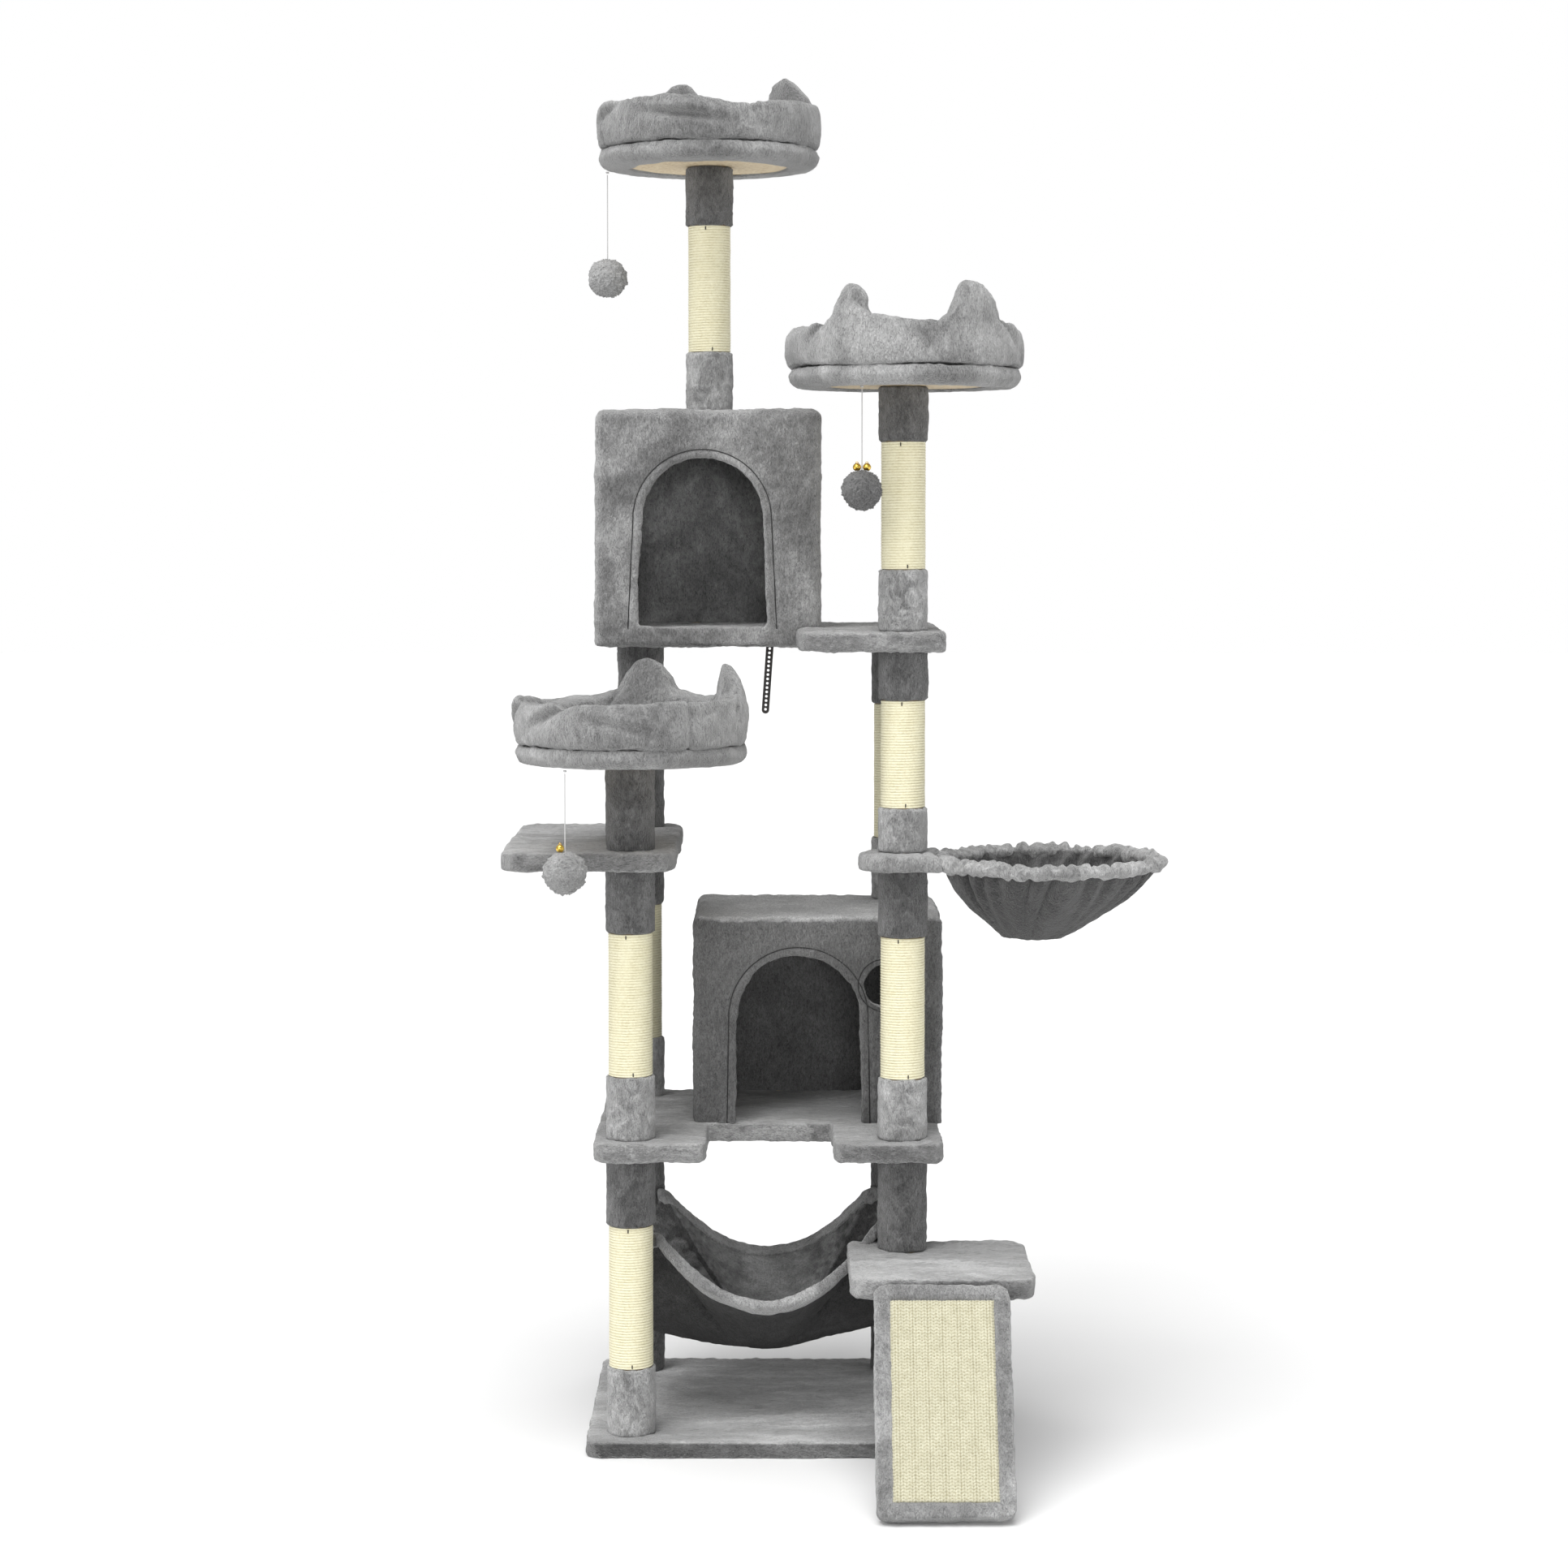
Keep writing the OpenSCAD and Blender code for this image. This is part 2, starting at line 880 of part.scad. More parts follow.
module basket_hoop() {
    color(steel) {
        translate([hoop_x, hoop_y, hoop_z])
            rotate_extrude()
                polygon(round_wire(wire_r));
        hoop_tails(wire_r - wire_gap);
    }
}

// The sack's curve from the hoop down to its flat bottom, as (radius, height)
function sack_curve(t, grow) =
    [bag_bottom_r + (hoop_r - bag_bottom_r) * pow(cos(t), 1.5) + grow * cos(t),
    -sack_depth * sin(t) - grow * sin(t)];

module basket_sack() {
    outer = [for (t = [0:9:90]) sack_curve(t, 0)];
    inner = [for (t = [90:-9:0]) sack_curve(t, -bag_t)];
    color(dark_plush)
        difference() {
            translate([hoop_x, hoop_y, hoop_z])
                rotate_extrude()
                    difference() {
                        union() {
                            polygon(concat(outer, [[0, -sack_depth], [0, bag_t - sack_depth]], inner));
                            polygon(round_wire(roll_r));
                        }
                        polygon(round_wire(wire_r + wire_gap));
                    }
            hoop_tails(wire_r + wire_gap);
        }
}

// Hammock

function dip(t) = pow(cos(90 * t), 2);
function pull_in(t) = 1 - pow(abs(t), 6);

// A point of the sheet's middle surface, with u and v from -1 to 1
function hammock_point(u, v) = let (
    a = (u + 1) / 2,
    b = (v + 1) / 2,
    front = HAMMOCK_CORNERS[0] * (1 - a) + HAMMOCK_CORNERS[1] * a,
    back = HAMMOCK_CORNERS[2] * (1 - a) + HAMMOCK_CORNERS[3] * a,
    flat = front * (1 - b) + back * b,
    sag = (front_sag * (1 - b) + back_sag * b) * dip(u) + side_sag * dip(v)
        - belly_lift * dip(u) * dip(v)
) flat + [-side_pull * u * (1 - v * v), -hem_pull * v * pull_in(u), -sag];

module hammock_sheet() {
    n = hammock_cells;
    side = n + 1;
    count = side * side;
    upper = [for (j = [0:n], i = [0:n]) hammock_point(2 * i / n - 1, 2 * j / n - 1)];
    lift = [0, 0, hammock_t / 2];
    points = concat([for (p = upper) p + lift], [for (p = upper) p - lift]);
    tops = [for (j = [0:n - 1], i = [0:n - 1]) let (k = j * side + i)
        each [[k, k + side + 1, k + 1], [k, k + side, k + side + 1]]];
    bottoms = [for (f = tops) [f[0] + count, f[2] + count, f[1] + count]];
    rim = concat([for (i = [0:n - 1]) i], [for (j = [0:n - 1]) j * side + n],
        [for (i = [0:n - 1]) count - 1 - i], [for (j = [0:n - 1]) (n - j) * side]);
    walls = [for (i = [0:len(rim) - 1])
        let (p = rim[i], q = rim[(i + 1) % len(rim)])
            each [[p, q, q + count], [p, q + count, p + count]]];
    polyhedron(points, concat(tops, bottoms, walls));
}

module hammock() {
    color(dark_plush) {
        hammock_sheet();
        for (i = [0:3])
            tube(POST_AT[[FL, FR, BL, BR][i]], LOOP_Z[i], LOOP_Z[i] + loop_h,
                sleeve_r + loop_gap, sleeve_r + loop_gap + loop_t);
    }
}

// Toys

// A thin cord along a route that runs straight down
module cord(route) {
    sides = 8;
    rings = len(route);
    points = [for (p = route, i = [0:sides - 1])
        p + cord_d / 2 * [cos(i * 360 / sides), sin(i * 360 / sides), 0]];
    walls = [for (k = [0:rings - 2], i = [0:sides - 1])
        let (a = k * sides + i, b = k * sides + (i + 1) % sides)
            each [[a, b, b + sides], [a, b + sides, a + sides]]];
    ends = [[for (i = [sides - 1:-1:0]) i], [for (i = [0:sides - 1]) (rings - 1) * sides + i]];
    color("white")
        polyhedron(points, concat(walls, ends));
}

module knot(route, z) {
    color("white")
        translate([route[0][0], route[0][1], z])
            sphere(knot_r);
}

// The ball's centre is the cord's last point
module ball(route, r) {
    color(plush)
        translate(route[len(route) - 1])
            sphere(r);
}

module bell(centre) {
    color(gold)
        translate(centre)
            difference() {
                sphere(bell_r, $fn = 32);
                sphere(bell_r - bell_wall, $fn = 32);
            }
}

module top_toy_knot() {
    knot(TOP_CORD, TOP_KNOT_Z);
}

module right_toy_knot() {
    knot(RIGHT_CORD, RIGHT_KNOT_Z);
}

module left_toy_knot() {
    knot(LEFT_CORD, LEFT_KNOT_Z);
}

module top_toy_cord() {
    cord(TOP_CORD);
}

module right_toy_cord() {
    cord(RIGHT_CORD);
}

module left_toy_cord() {
    cord(LEFT_CORD);
}

module top_toy_ball() {
    ball(TOP_CORD, top_ball_r);
}

module right_toy_ball() {
    ball(RIGHT_CORD, right_ball_r);
}

module left_toy_ball() {
    ball(LEFT_CORD, left_ball_r);
}

// Two small bells, one each side of the cord on top of the ball
module right_toy_bells() {
    for (side = [-1, 1])
        bell([139 + side * 7.2, -272, 1426 + right_ball_r + bell_r - 0.4]);
}

module left_toy_bell() {
    bell([-290 - 7.2, -320, 874 + left_ball_r + bell_r - 0.4]);
}

// Wall strap: leans a little as it hangs from its screw

module strap_plane() {
    translate([strap_x, strap_y, screw_z])
        rotate([0, strap_lean, 0])
            children();
}

module strap_screw_hole(r) {
    translate([strap_x, 200, screw_z])
        rotate([-90, 0, 0])
            cylinder(r = r, h = 60);
}

module wall_strap() {
    length = (strap_holes - 1) * strap_pitch;
    color([0.1, 0.09, 0.09])
        strap_plane()
            upright(0, strap_t)
                difference() {
                    union() {
                        for (z = [strap_end - strap_w / 2, strap_w / 2 - strap_end - length])
                            translate([0, z])
                                circle(strap_w / 2);
                        translate([-strap_w / 2, strap_w / 2 - strap_end - length])
                            square([strap_w, length + 2 * strap_end - strap_w]);
                    }
                    for (i = [0:strap_holes - 1])
                        translate([0, -i * strap_pitch])
                            circle(strap_hole_r);
                }
}

module strap_screw() {
    head_gap = 0.3;
    color(steel)
        translate([strap_x, strap_y + strap_t + head_gap, screw_z])
            rotate([90, 0, 0]) {
                cylinder(r = screw_r, h = 28);
                translate([0, 0, -2])
                    cylinder(r = 4, h = 2);
            }
}

base_board();
base_cover();
step_board();
step_cover();
lower_platform_board();
lower_platform_cover();
left_shelf_board();
left_shelf_cover();
upper_platform_board();
upper_platform_cover();
ramp_board();
ramp_cover();
ramp_mat();
lower_house_front();
lower_house_walls();
lower_house_roof();
lower_house_cover();
upper_house_front();
upper_house_walls();
upper_house_roof();
upper_house_cover();
front_left_tubes();
front_right_tubes();
back_tubes();
top_tube();
front_left_sleeves();
back_left_sleeves();
front_right_sleeves();
back_right_sleeves();
top_sleeves();
front_left_sisal();
front_right_sisal();
back_sisal();
top_sisal();
perch_boards();
perch_covers();
left_perch_bolster();
right_perch_bolster();
top_perch_bolster();
basket_bracket_board();
basket_bracket_cover();
basket_hoop();
basket_sack();
hammock();
top_toy_knot();
right_toy_knot();
left_toy_knot();
top_toy_cord();
right_toy_cord();
left_toy_cord();
top_toy_ball();
right_toy_ball();
left_toy_ball();
right_toy_bells();
left_toy_bell();
wall_strap();
strap_screw();
post_end_plugs();
joining_studs();
post_bolts();
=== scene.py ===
"""The looks of a cat tree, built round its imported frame: plush, sisal, cords and toys."""

import itertools
import json
import math

import bmesh
import bpy
import numpy as np
from mathutils import Matrix, Vector


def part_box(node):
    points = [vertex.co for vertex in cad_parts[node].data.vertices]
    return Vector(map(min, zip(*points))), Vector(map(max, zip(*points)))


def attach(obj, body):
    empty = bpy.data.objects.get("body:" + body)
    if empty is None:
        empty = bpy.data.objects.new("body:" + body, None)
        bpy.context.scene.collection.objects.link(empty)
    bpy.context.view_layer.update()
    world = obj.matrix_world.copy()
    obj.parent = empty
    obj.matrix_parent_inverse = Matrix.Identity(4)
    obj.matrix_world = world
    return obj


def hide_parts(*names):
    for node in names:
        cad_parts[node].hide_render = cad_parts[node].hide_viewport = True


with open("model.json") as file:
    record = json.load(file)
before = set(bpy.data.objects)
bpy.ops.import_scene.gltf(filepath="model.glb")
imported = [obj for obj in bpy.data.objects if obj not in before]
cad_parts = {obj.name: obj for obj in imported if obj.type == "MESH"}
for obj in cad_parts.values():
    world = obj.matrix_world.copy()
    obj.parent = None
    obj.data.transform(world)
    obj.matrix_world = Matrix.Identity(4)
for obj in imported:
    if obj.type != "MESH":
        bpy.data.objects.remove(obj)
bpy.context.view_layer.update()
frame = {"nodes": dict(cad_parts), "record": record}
TREE = "tree"
TAU = 2 * math.pi

# Camera: lens in millimetres, place in metres, tilt in degrees and shift in shares of the frame
LENS = 76.77
CAMERA_AT = (0.026, -5.1275, 1.3794)
CAMERA_TILT = 2.65
CAMERA_SHIFT = -0.068

# Step of the remeshed skins, thickness of a sleeve's cloth and height of the pile, in metres
VOXEL = 0.0036
SKIN = 0.006
PILE = 0.0013
# How far the cloth lies outside a board's or a house's cover, in metres
BOARD_GROW = 0.002
HOUSE_GROW = 0.0015


# ---------------------------------------------------------------- noise

def lattice_noise(points, size, seed):
    """Smooth noise from -1 to 1 at each point, with lumps about size metres across."""
    scaled = np.asarray(points, float) / size + 1000.0
    cell = np.floor(scaled).astype(np.int64)
    part = scaled - cell
    part = part * part * (3 - 2 * part)
    total = np.zeros(len(scaled))
    for corner in itertools.product((0, 1), repeat=3):
        c = cell + corner
        mixed = c[:, 0] * 73856093 ^ c[:, 1] * 19349663 ^ c[:, 2] * 83492791 ^ seed * 6542989
        mixed = (mixed ^ (mixed >> 13)) * 1274126177 & 0x7FFFFFFF
        mixed = (mixed ^ (mixed >> 11)) * 668265263 & 0x7FFFFFFF
        value = (mixed & 0xFFFF) / 32767.5 - 1
        weight = np.prod(np.where(corner, part, 1 - part), axis=1)
        total += value * weight
    return total


def bump(distance, width):
    """1 on a line and 0 far from it."""
    return np.exp(-(distance / width) ** 2)


def smooth_step(x):
    x = np.clip(x, 0, 1)
    return x * x * (3 - 2 * x)


# ---------------------------------------------------------------- materials

class Nodes:
    """A short way to write a material's node tree."""

    def __init__(self, name):
        self.material = bpy.data.materials.new(name)
        self.material.use_nodes = True
        self.tree = self.material.node_tree
        self.shader = self.tree.nodes["Principled BSDF"]
        place = self.tree.nodes.new("ShaderNodeTexCoord")
        self.coords, self.facing = place.outputs["Object"], place.outputs["Normal"]

    def set(self, **values):
        for name, value in values.items():
            self.shader.inputs[name.replace("_", " ")].default_value = value

    def link(self, a, b):
        self.tree.links.new(a, b)

    def fill(self, socket, value):
        """Joins an input to another node's output, or sets its value."""
        if isinstance(value, bpy.types.NodeSocket):
            self.link(value, socket)
        else:
            socket.default_value = value

    def node(self, kind, **inputs):
        made = self.tree.nodes.new("ShaderNode" + kind)
        for name, value in inputs.items():
            self.fill(made.inputs[name.replace("_", " ")], value)
        return made

    def stretched(self, x, y, z):
        mapping = self.node("Mapping", Vector=self.coords)
        mapping.inputs["Scale"].default_value = (x, y, z)
        return mapping.outputs["Vector"]

    def noise(self, scale, detail=2.0, roughness=0.5, distortion=0.0, vector=None):
        made = self.node("TexNoise", Vector=vector or self.coords, Scale=scale, Detail=detail,
                         Roughness=roughness, Distortion=distortion)
        return made.outputs["Fac"]

    def mark(self, name):
        """A number that the mesh holds at each point."""
        made = self.tree.nodes.new("ShaderNodeAttribute")
        made.attribute_name = name
        return made.outputs["Fac"]

    def ramp(self, value, *stops):
        made = self.node("ValToRGB", Fac=value)
        ramp = made.color_ramp
        while len(ramp.elements) < len(stops):
            ramp.elements.new(0.5)
        for element, (place, colour) in zip(ramp.elements, stops):
            element.position = place
            element.color = (*colour, 1)
        return made.outputs["Color"]

    def math(self, operation, a, b):
        made = self.tree.nodes.new("ShaderNodeMath")
        made.operation = operation
        for socket, value in zip(made.inputs, (a, b)):
            self.fill(socket, value)
        return made.outputs[0]

    def mix(self, blend, amount, a, b):
        made = self.tree.nodes.new("ShaderNodeMix")
        made.data_type = "RGBA"
        made.blend_type = blend
        for number, value in ((0, amount), (6, a), (7, b)):
            self.fill(made.inputs[number], value)
        return made.outputs[2]

    def colour(self, socket):
        self.link(socket, self.shader.inputs["Base Color"])

    def relief(self, height, distance, strength=1.0):
        made = self.node("Bump", Height=height, Distance=distance, Strength=strength)
        self.link(made.outputs["Normal"], self.shader.inputs["Normal"])


def grey(level, warmth=0.0):
    return (level * (1 + warmth), level, level * (1 - warmth))


# Which way the pile lies: down a wall, along X on a board, or every way
DOWN, ALONG, ROUND = (1.0, 1.0, 0.42), (0.42, 1.0, 1.0), (1.0, 1.0, 1.0)


def plush_material(name, light, dark, side=0.85, down=0.75, streak=1.0, brushed=0.3, scale=7.0, lay=DOWN,
                   sheen=0.9):
    """Short pile in strands, with soft brushed patches, and painted light: the colour is painted lightest
    where it faces up, and side and down are its painted-shade shares of that on walls and undersides. A
    streak under 1 draws the patches out along X, and lay draws the strands out the way the pile lies."""
    n = Nodes(name)
    n.set(Roughness=0.95, Sheen_Weight=sheen, Sheen_Roughness=0.32, Specular_IOR_Level=0.05)
    patches = n.noise(scale, 2.0, 0.5, 0.8, n.stretched(streak, 1.0, 1.0))
    strokes = n.noise(scale * 4.5, 3.0, 0.6, 1.4, n.stretched(streak, 1.0, 0.7))
    strands = n.noise(420.0, 3.0, 0.6, 1.6, n.stretched(*lay))
    tufts = n.noise(150.0, 2.0, 0.6, 1.8, n.stretched(*lay))
    nap = n.math("ADD", n.math("MULTIPLY", patches, 1 - brushed), n.math("MULTIPLY", strokes, brushed))
    base = n.ramp(nap, (0.38, grey(dark)), (0.5, grey((light * dark) ** 0.5)), (0.62, grey(light)))
    toned = n.mix("MULTIPLY", 1.0, base, n.ramp(strands, (0.34, grey(0.48)), (0.60, grey(1.0))))
    toned = n.mix("MULTIPLY", 0.9, toned, n.ramp(tufts, (0.36, grey(0.80)), (0.62, grey(1.0))))
    # Painted light and shade: the colour follows which way each face looks, lightest facing up and darker on
    # walls and undersides, standing in for light from above.
    height = n.node("SeparateXYZ", Vector=n.facing).outputs["Z"]
    rise = n.math("ADD", n.math("MULTIPLY", height, 0.5), 0.5)
    lift = n.ramp(rise, (0.1, grey(down)), (0.5, grey(side)), (0.7, grey(side * 1.1)), (0.94, grey(1.0)))
    n.colour(n.mix("MULTIPLY", 1.0, toned, lift))
    n.relief(n.math("ADD", n.math("MULTIPLY", strands, 0.8), n.math("MULTIPLY", tufts, 0.7)), 0.0040, 1.0)
    return n.material


def sisal_material(name):
    """Cream rope: pale strands, straw flecks and fine hairs, and painted shade in the grooves between its
    turns.
    """
    n = Nodes(name)
    n.set(Roughness=0.85, Sheen_Weight=0.12, Sheen_Roughness=0.5, Specular_IOR_Level=0.2)
    drift = n.noise(26.0, 3.0, 0.6, 0.0, n.stretched(1.0, 1.0, 3.0))
    strands = n.noise(520.0, 3.0, 0.65, 0.8, n.stretched(0.6, 0.6, 1.0))
    base = n.ramp(drift, (0.3, (0.83, 0.795, 0.58)), (0.7, (0.87, 0.84, 0.635)))
    fleck = n.ramp(strands, (0.28, (0.74, 0.70, 0.60)), (0.56, (1.0, 1.0, 1.0)))
    # Painted shade: the colour darkens where the rope's crown is low, in the grooves between turns.
    gap = n.ramp(n.mark("crown"), (0.2, (0.50, 0.43, 0.30)), (0.85, (1.0, 1.0, 1.0)))
    n.colour(n.mix("MULTIPLY", 1.0, n.mix("MULTIPLY", 0.8, base, fleck), gap))
    n.relief(strands, 0.0010, 0.6)
    return n.material


def mat_material(name):
    """Woven sisal: cream yarn with straw flecks, and painted shade between the stitches."""
    n = Nodes(name)
    n.set(Roughness=0.85, Sheen_Weight=0.1, Sheen_Roughness=0.5, Specular_IOR_Level=0.2)
    drift = n.noise(60.0, 2.0, 0.6)
    yarn = n.noise(480.0, 3.0, 0.65, 0.8)
    base = n.ramp(drift, (0.3, (0.62, 0.605, 0.465)), (0.7, (0.69, 0.675, 0.53)))
    fleck = n.ramp(yarn, (0.28, (0.62, 0.57, 0.46)), (0.6, (1.0, 1.0, 1.0)))
    # Painted shade: the colour darkens where a stitch's crown is low, between the stitches.
    gap = n.ramp(n.mark("crown"), (0.0, (0.34, 0.29, 0.18)), (0.75, (1.0, 1.0, 1.0)))
    n.colour(n.mix("MULTIPLY", 1.0, n.mix("MULTIPLY", 0.8, base, fleck), gap))
    n.relief(yarn, 0.0008, 0.6)
    return n.material


def wood_material(name):
    """Pressed board: cream with small darker chips."""
    n = Nodes(name)
    n.set(Roughness=0.7, Specular_IOR_Level=0.3)
    chips = n.node("TexVoronoi", Vector=n.stretched(1.0, 1.6, 1.0), Scale=260.0)
    tone = n.ramp(chips.outputs["Color"], (0.2, (0.52, 0.40, 0.24)), (0.6, (0.70, 0.60, 0.42)))
    clouds = n.ramp(n.noise(9.0, 4.0), (0.3, grey(0.86, 0.04)), (0.7, grey(1.0)))
    n.colour(n.mix("MULTIPLY", 0.7, tone, clouds))
    n.relief(chips.outputs["Distance"], 0.0004, 0.5)
    return n.material


def card_material(name):
    """Wound brown card, with faint lines where the strips meet."""
    n = Nodes(name)
    n.set(Roughness=0.85, Specular_IOR_Level=0.2)
    strips = n.node("TexWave", Vector=n.coords, Scale=7.0, Distortion=2.0)
    strips.bands_direction = "DIAGONAL"
    fibres = n.noise(300.0, 4.0)
    base = n.ramp(strips.outputs["Fac"], (0.02, (0.25, 0.17, 0.10)), (0.15, (0.38, 0.27, 0.16)))
    n.colour(n.mix("MULTIPLY", 0.4, base, n.ramp(fibres, (0.3, grey(0.7)), (0.7, grey(1.0)))))
    n.relief(fibres, 0.0003, 0.4)
    return n.material


def metal_material(name, light, dark, rough):
    n = Nodes(name)
    n.set(Metallic=1.0)
    wear = n.noise(240.0, 3.0, 0.6, 0.3, n.stretched(1.0, 1.0, 0.2))
    n.colour(n.ramp(wear, (0.3, dark), (0.7, light)))
    n.link(n.ramp(wear, (0.2, grey(rough * 0.7)), (0.8, grey(rough * 1.3))), n.shader.inputs["Roughness"])
    n.relief(wear, 0.0001, 0.3)
    return n.material


def cord_material(name):
    n = Nodes(name)
    n.set(Roughness=0.6, Sheen_Weight=0.1)
    braid = n.node("TexWave", Vector=n.coords, Scale=320.0, Distortion=1.0)
    braid.bands_direction = "DIAGONAL"
    n.colour(n.ramp(braid.outputs["Fac"], (0.1, grey(0.42)), (0.6, grey(0.62))))
    n.relief(braid.outputs["Fac"], 0.0002, 0.5)
    return n.material


def strap_material(name):
    n = Nodes(name)
    n.set(Roughness=0.5, Specular_IOR_Level=0.4)
    grain = n.noise(380.0, 3.0)
    n.colour(n.ramp(grain, (0.3, (0.012, 0.009, 0.008)), (0.7, (0.035, 0.028, 0.026))))
    n.relief(grain, 0.0002, 0.4)
    return n.material


def thread_material(name):
    n = Nodes(name)
    n.set(Roughness=0.9, Specular_IOR_Level=0.1)
    twist = n.noise(700.0, 2.0)
    n.colour(n.ramp(twist, (0.3, grey(0.02)), (0.7, grey(0.07))))
    n.relief(twist, 0.0003, 0.5)
    return n.material


MATERIALS = {
    "plush": plush_material("plush", 0.64, 0.27, side=0.88),
    "sleeve_plush": plush_material("sleeve_plush", 0.80, 0.35, brushed=0.6, scale=12.0),
    "board_plush": plush_material("board_plush", 0.76, 0.30, side=0.66, down=0.6, streak=0.35, brushed=0.45,
                                  scale=10.0, lay=ALONG),
    # Painted shade: low side and down shares paint the base's edges dark.
    "base_plush": plush_material("base_plush", 1.0, 0.34, side=0.33, down=0.33, streak=0.25, brushed=0.35,
                                 scale=8.0, lay=ALONG),
    "wall_plush": plush_material("wall_plush", 0.68, 0.28, side=0.80),
    # Painted light and shade: the lower house's copy has its walls painted darker and its top lighter than
    # the upper house's, for shade under the upper platform.
    "house_plush": plush_material("house_plush", 1.0, 0.66, side=0.25, down=0.26, sheen=0.4),
    # Painted shade: a darker copy of the sleeve plush, for sleeves that end right under a board or a perch.
    "under_board_shade_plush": plush_material("under_board_shade_plush", 0.28, 0.14, brushed=0.6, scale=12.0, sheen=0.5),
    # Painted shade: a darker copy of the plush for the inner side of the perch walls.
    "inner_shade_plush": plush_material("inner_shade_plush", 0.50, 0.28),
    "shade_plush": plush_material("shade_plush", 0.38, 0.20, side=0.50, down=0.30, sheen=0.4),
    # Painted shade: very low side and down shares paint the hammock's outside and underside dark.
    "hammock_plush": plush_material("hammock_plush", 0.84, 0.42, side=0.17, down=0.13, sheen=0.1),
    "pompom": plush_material("pompom_plush", 0.70, 0.44, lay=ROUND),
    "dark_pompom": plush_material("dark_pompom_plush", 0.34, 0.20, lay=ROUND, sheen=0.5),
    "sisal": sisal_material("sisal"),
    "mat": mat_material("sisal_mat"),
    "wood": wood_material("board"),
    "card": card_material("card"),
    "steel": metal_material("zinc_steel", (0.72, 0.72, 0.74), (0.5, 0.5, 0.52), 0.3),
    "dark_steel": metal_material("dark_staple", (0.10, 0.09, 0.08), (0.05, 0.045, 0.04), 0.5),
    "gold": metal_material("gold_bell", (0.95, 0.68, 0.16), (0.78, 0.5, 0.08), 0.2),
    "cord": cord_material("white_elastic"),
    "strap": strap_material("black_nylon"),
    "thread": thread_material("dark_thread"),
}


# ---------------------------------------------------------------- meshes

def placed(name, data):
    """A new object in the scene."""
    made = bpy.data.objects.new(name, data)
    bpy.context.scene.collection.objects.link(made)
    return made


def coordinates(mesh):
    found = np.empty(len(mesh.vertices) * 3)
    mesh.vertices.foreach_get("co", found)
    return found.reshape(-1, 3)


def normals(mesh):
    found = np.empty(len(mesh.vertices) * 3)
    mesh.vertices.foreach_get("normal", found)
    return found.reshape(-1, 3)


def mark(mesh, name, values):
    """Keeps a number at each point of the mesh for its material."""
    made = mesh.attributes.new(name, "FLOAT", "POINT")
    made.data.foreach_set("value", np.ascontiguousarray(values, dtype=np.float32).ravel())


def move_to(mesh, points):
    mesh.vertices.foreach_set("co", np.ascontiguousarray(points, dtype=np.float32).ravel())
    mesh.update()


def piece(name, mesh, look, body=TREE, replaced=(), also=()):
    """A finished piece: its materials, the body that it rides on and the nodes it stands for."""
    made = placed(name, mesh)
    while len(mesh.materials) < 1 + len(also):
        mesh.materials.append(None)
    for i, each in enumerate((look, *also)):
        mesh.materials[i] = MATERIALS[each]
    for polygon in mesh.polygons:
        polygon.use_smooth = True
    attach(made, body)
    if replaced:
        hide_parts(*([replaced] if isinstance(replaced, str) else replaced))
    return made


def grid_faces(rows, columns, wrap_rows=False, wrap_columns=False, start=0):
    """Quads over a grid of points stored row by row."""
    r = np.arange(rows if wrap_rows else rows - 1)
    c = np.arange(columns if wrap_columns else columns - 1)
    i, j = np.meshgrid(r, c, indexing="ij")
    k, m = (i + 1) % rows, (j + 1) % columns
    quads = np.stack([i * columns + j, i * columns + m, k * columns + m, k * columns + j], axis=-1)
    return (quads.reshape(-1, 4) + start).tolist()


def mesh_from(name, points, faces):
    mesh = bpy.data.meshes.new(name)
    mesh.from_pydata(np.asarray(points, float).tolist(), [], faces)
    mesh.validate()
    made = bmesh.new()
    made.from_mesh(mesh)
    bmesh.ops.recalc_face_normals(made, faces=made.faces)
    made.to_mesh(mesh)
    made.free()
    return mesh


def join_meshes(name, meshes):
    """One mesh that holds several."""
    made = bmesh.new()
    for mesh in meshes:
        made.from_mesh(mesh)
    joined = bpy.data.meshes.new(name)
    made.to_mesh(joined)
    made.free()
    return joined


def raise_pile(mesh, seed, depth=PILE, slack=0.0016, floor=None):
    """Displaces a cloth surface: slow slack in the cloth and small tufts of pile."""
    at, out = coordinates(mesh), normals(mesh)
    lift = slack * lattice_noise(at, 0.05, seed) + slack * 0.5 * lattice_noise(at, 0.022, seed + 1)
    lift += depth * lattice_noise(at, 0.010, seed + 2) + depth * 0.7 * lattice_noise(at, 0.0052, seed + 3)
    at = at + out * lift[:, None]
    if floor is not None:
        at[:, 2] = np.maximum(at[:, 2], floor)
    move_to(mesh, at)
    return mesh


def prism(made, outline, low, high, place=None):
    """Adds to a bmesh a closed prism over an outline of (x, y) points."""
    bottom = [made.verts.new((x, y, low)) for x, y in outline]
    top = [made.verts.new((x, y, high)) for x, y in outline]
    made.faces.new(list(reversed(bottom)))
    made.faces.new(top)
    for i in range(len(outline)):
        j = (i + 1) % len(outline)
        made.faces.new((bottom[i], bottom[j], top[j], top[i]))
    if place is not None:
        bmesh.ops.transform(made, matrix=place, verts=bottom + top)


def as_mesh(name, made):
    mesh = bpy.data.meshes.new(name)
    made.to_mesh(mesh)
    made.free()
    return mesh


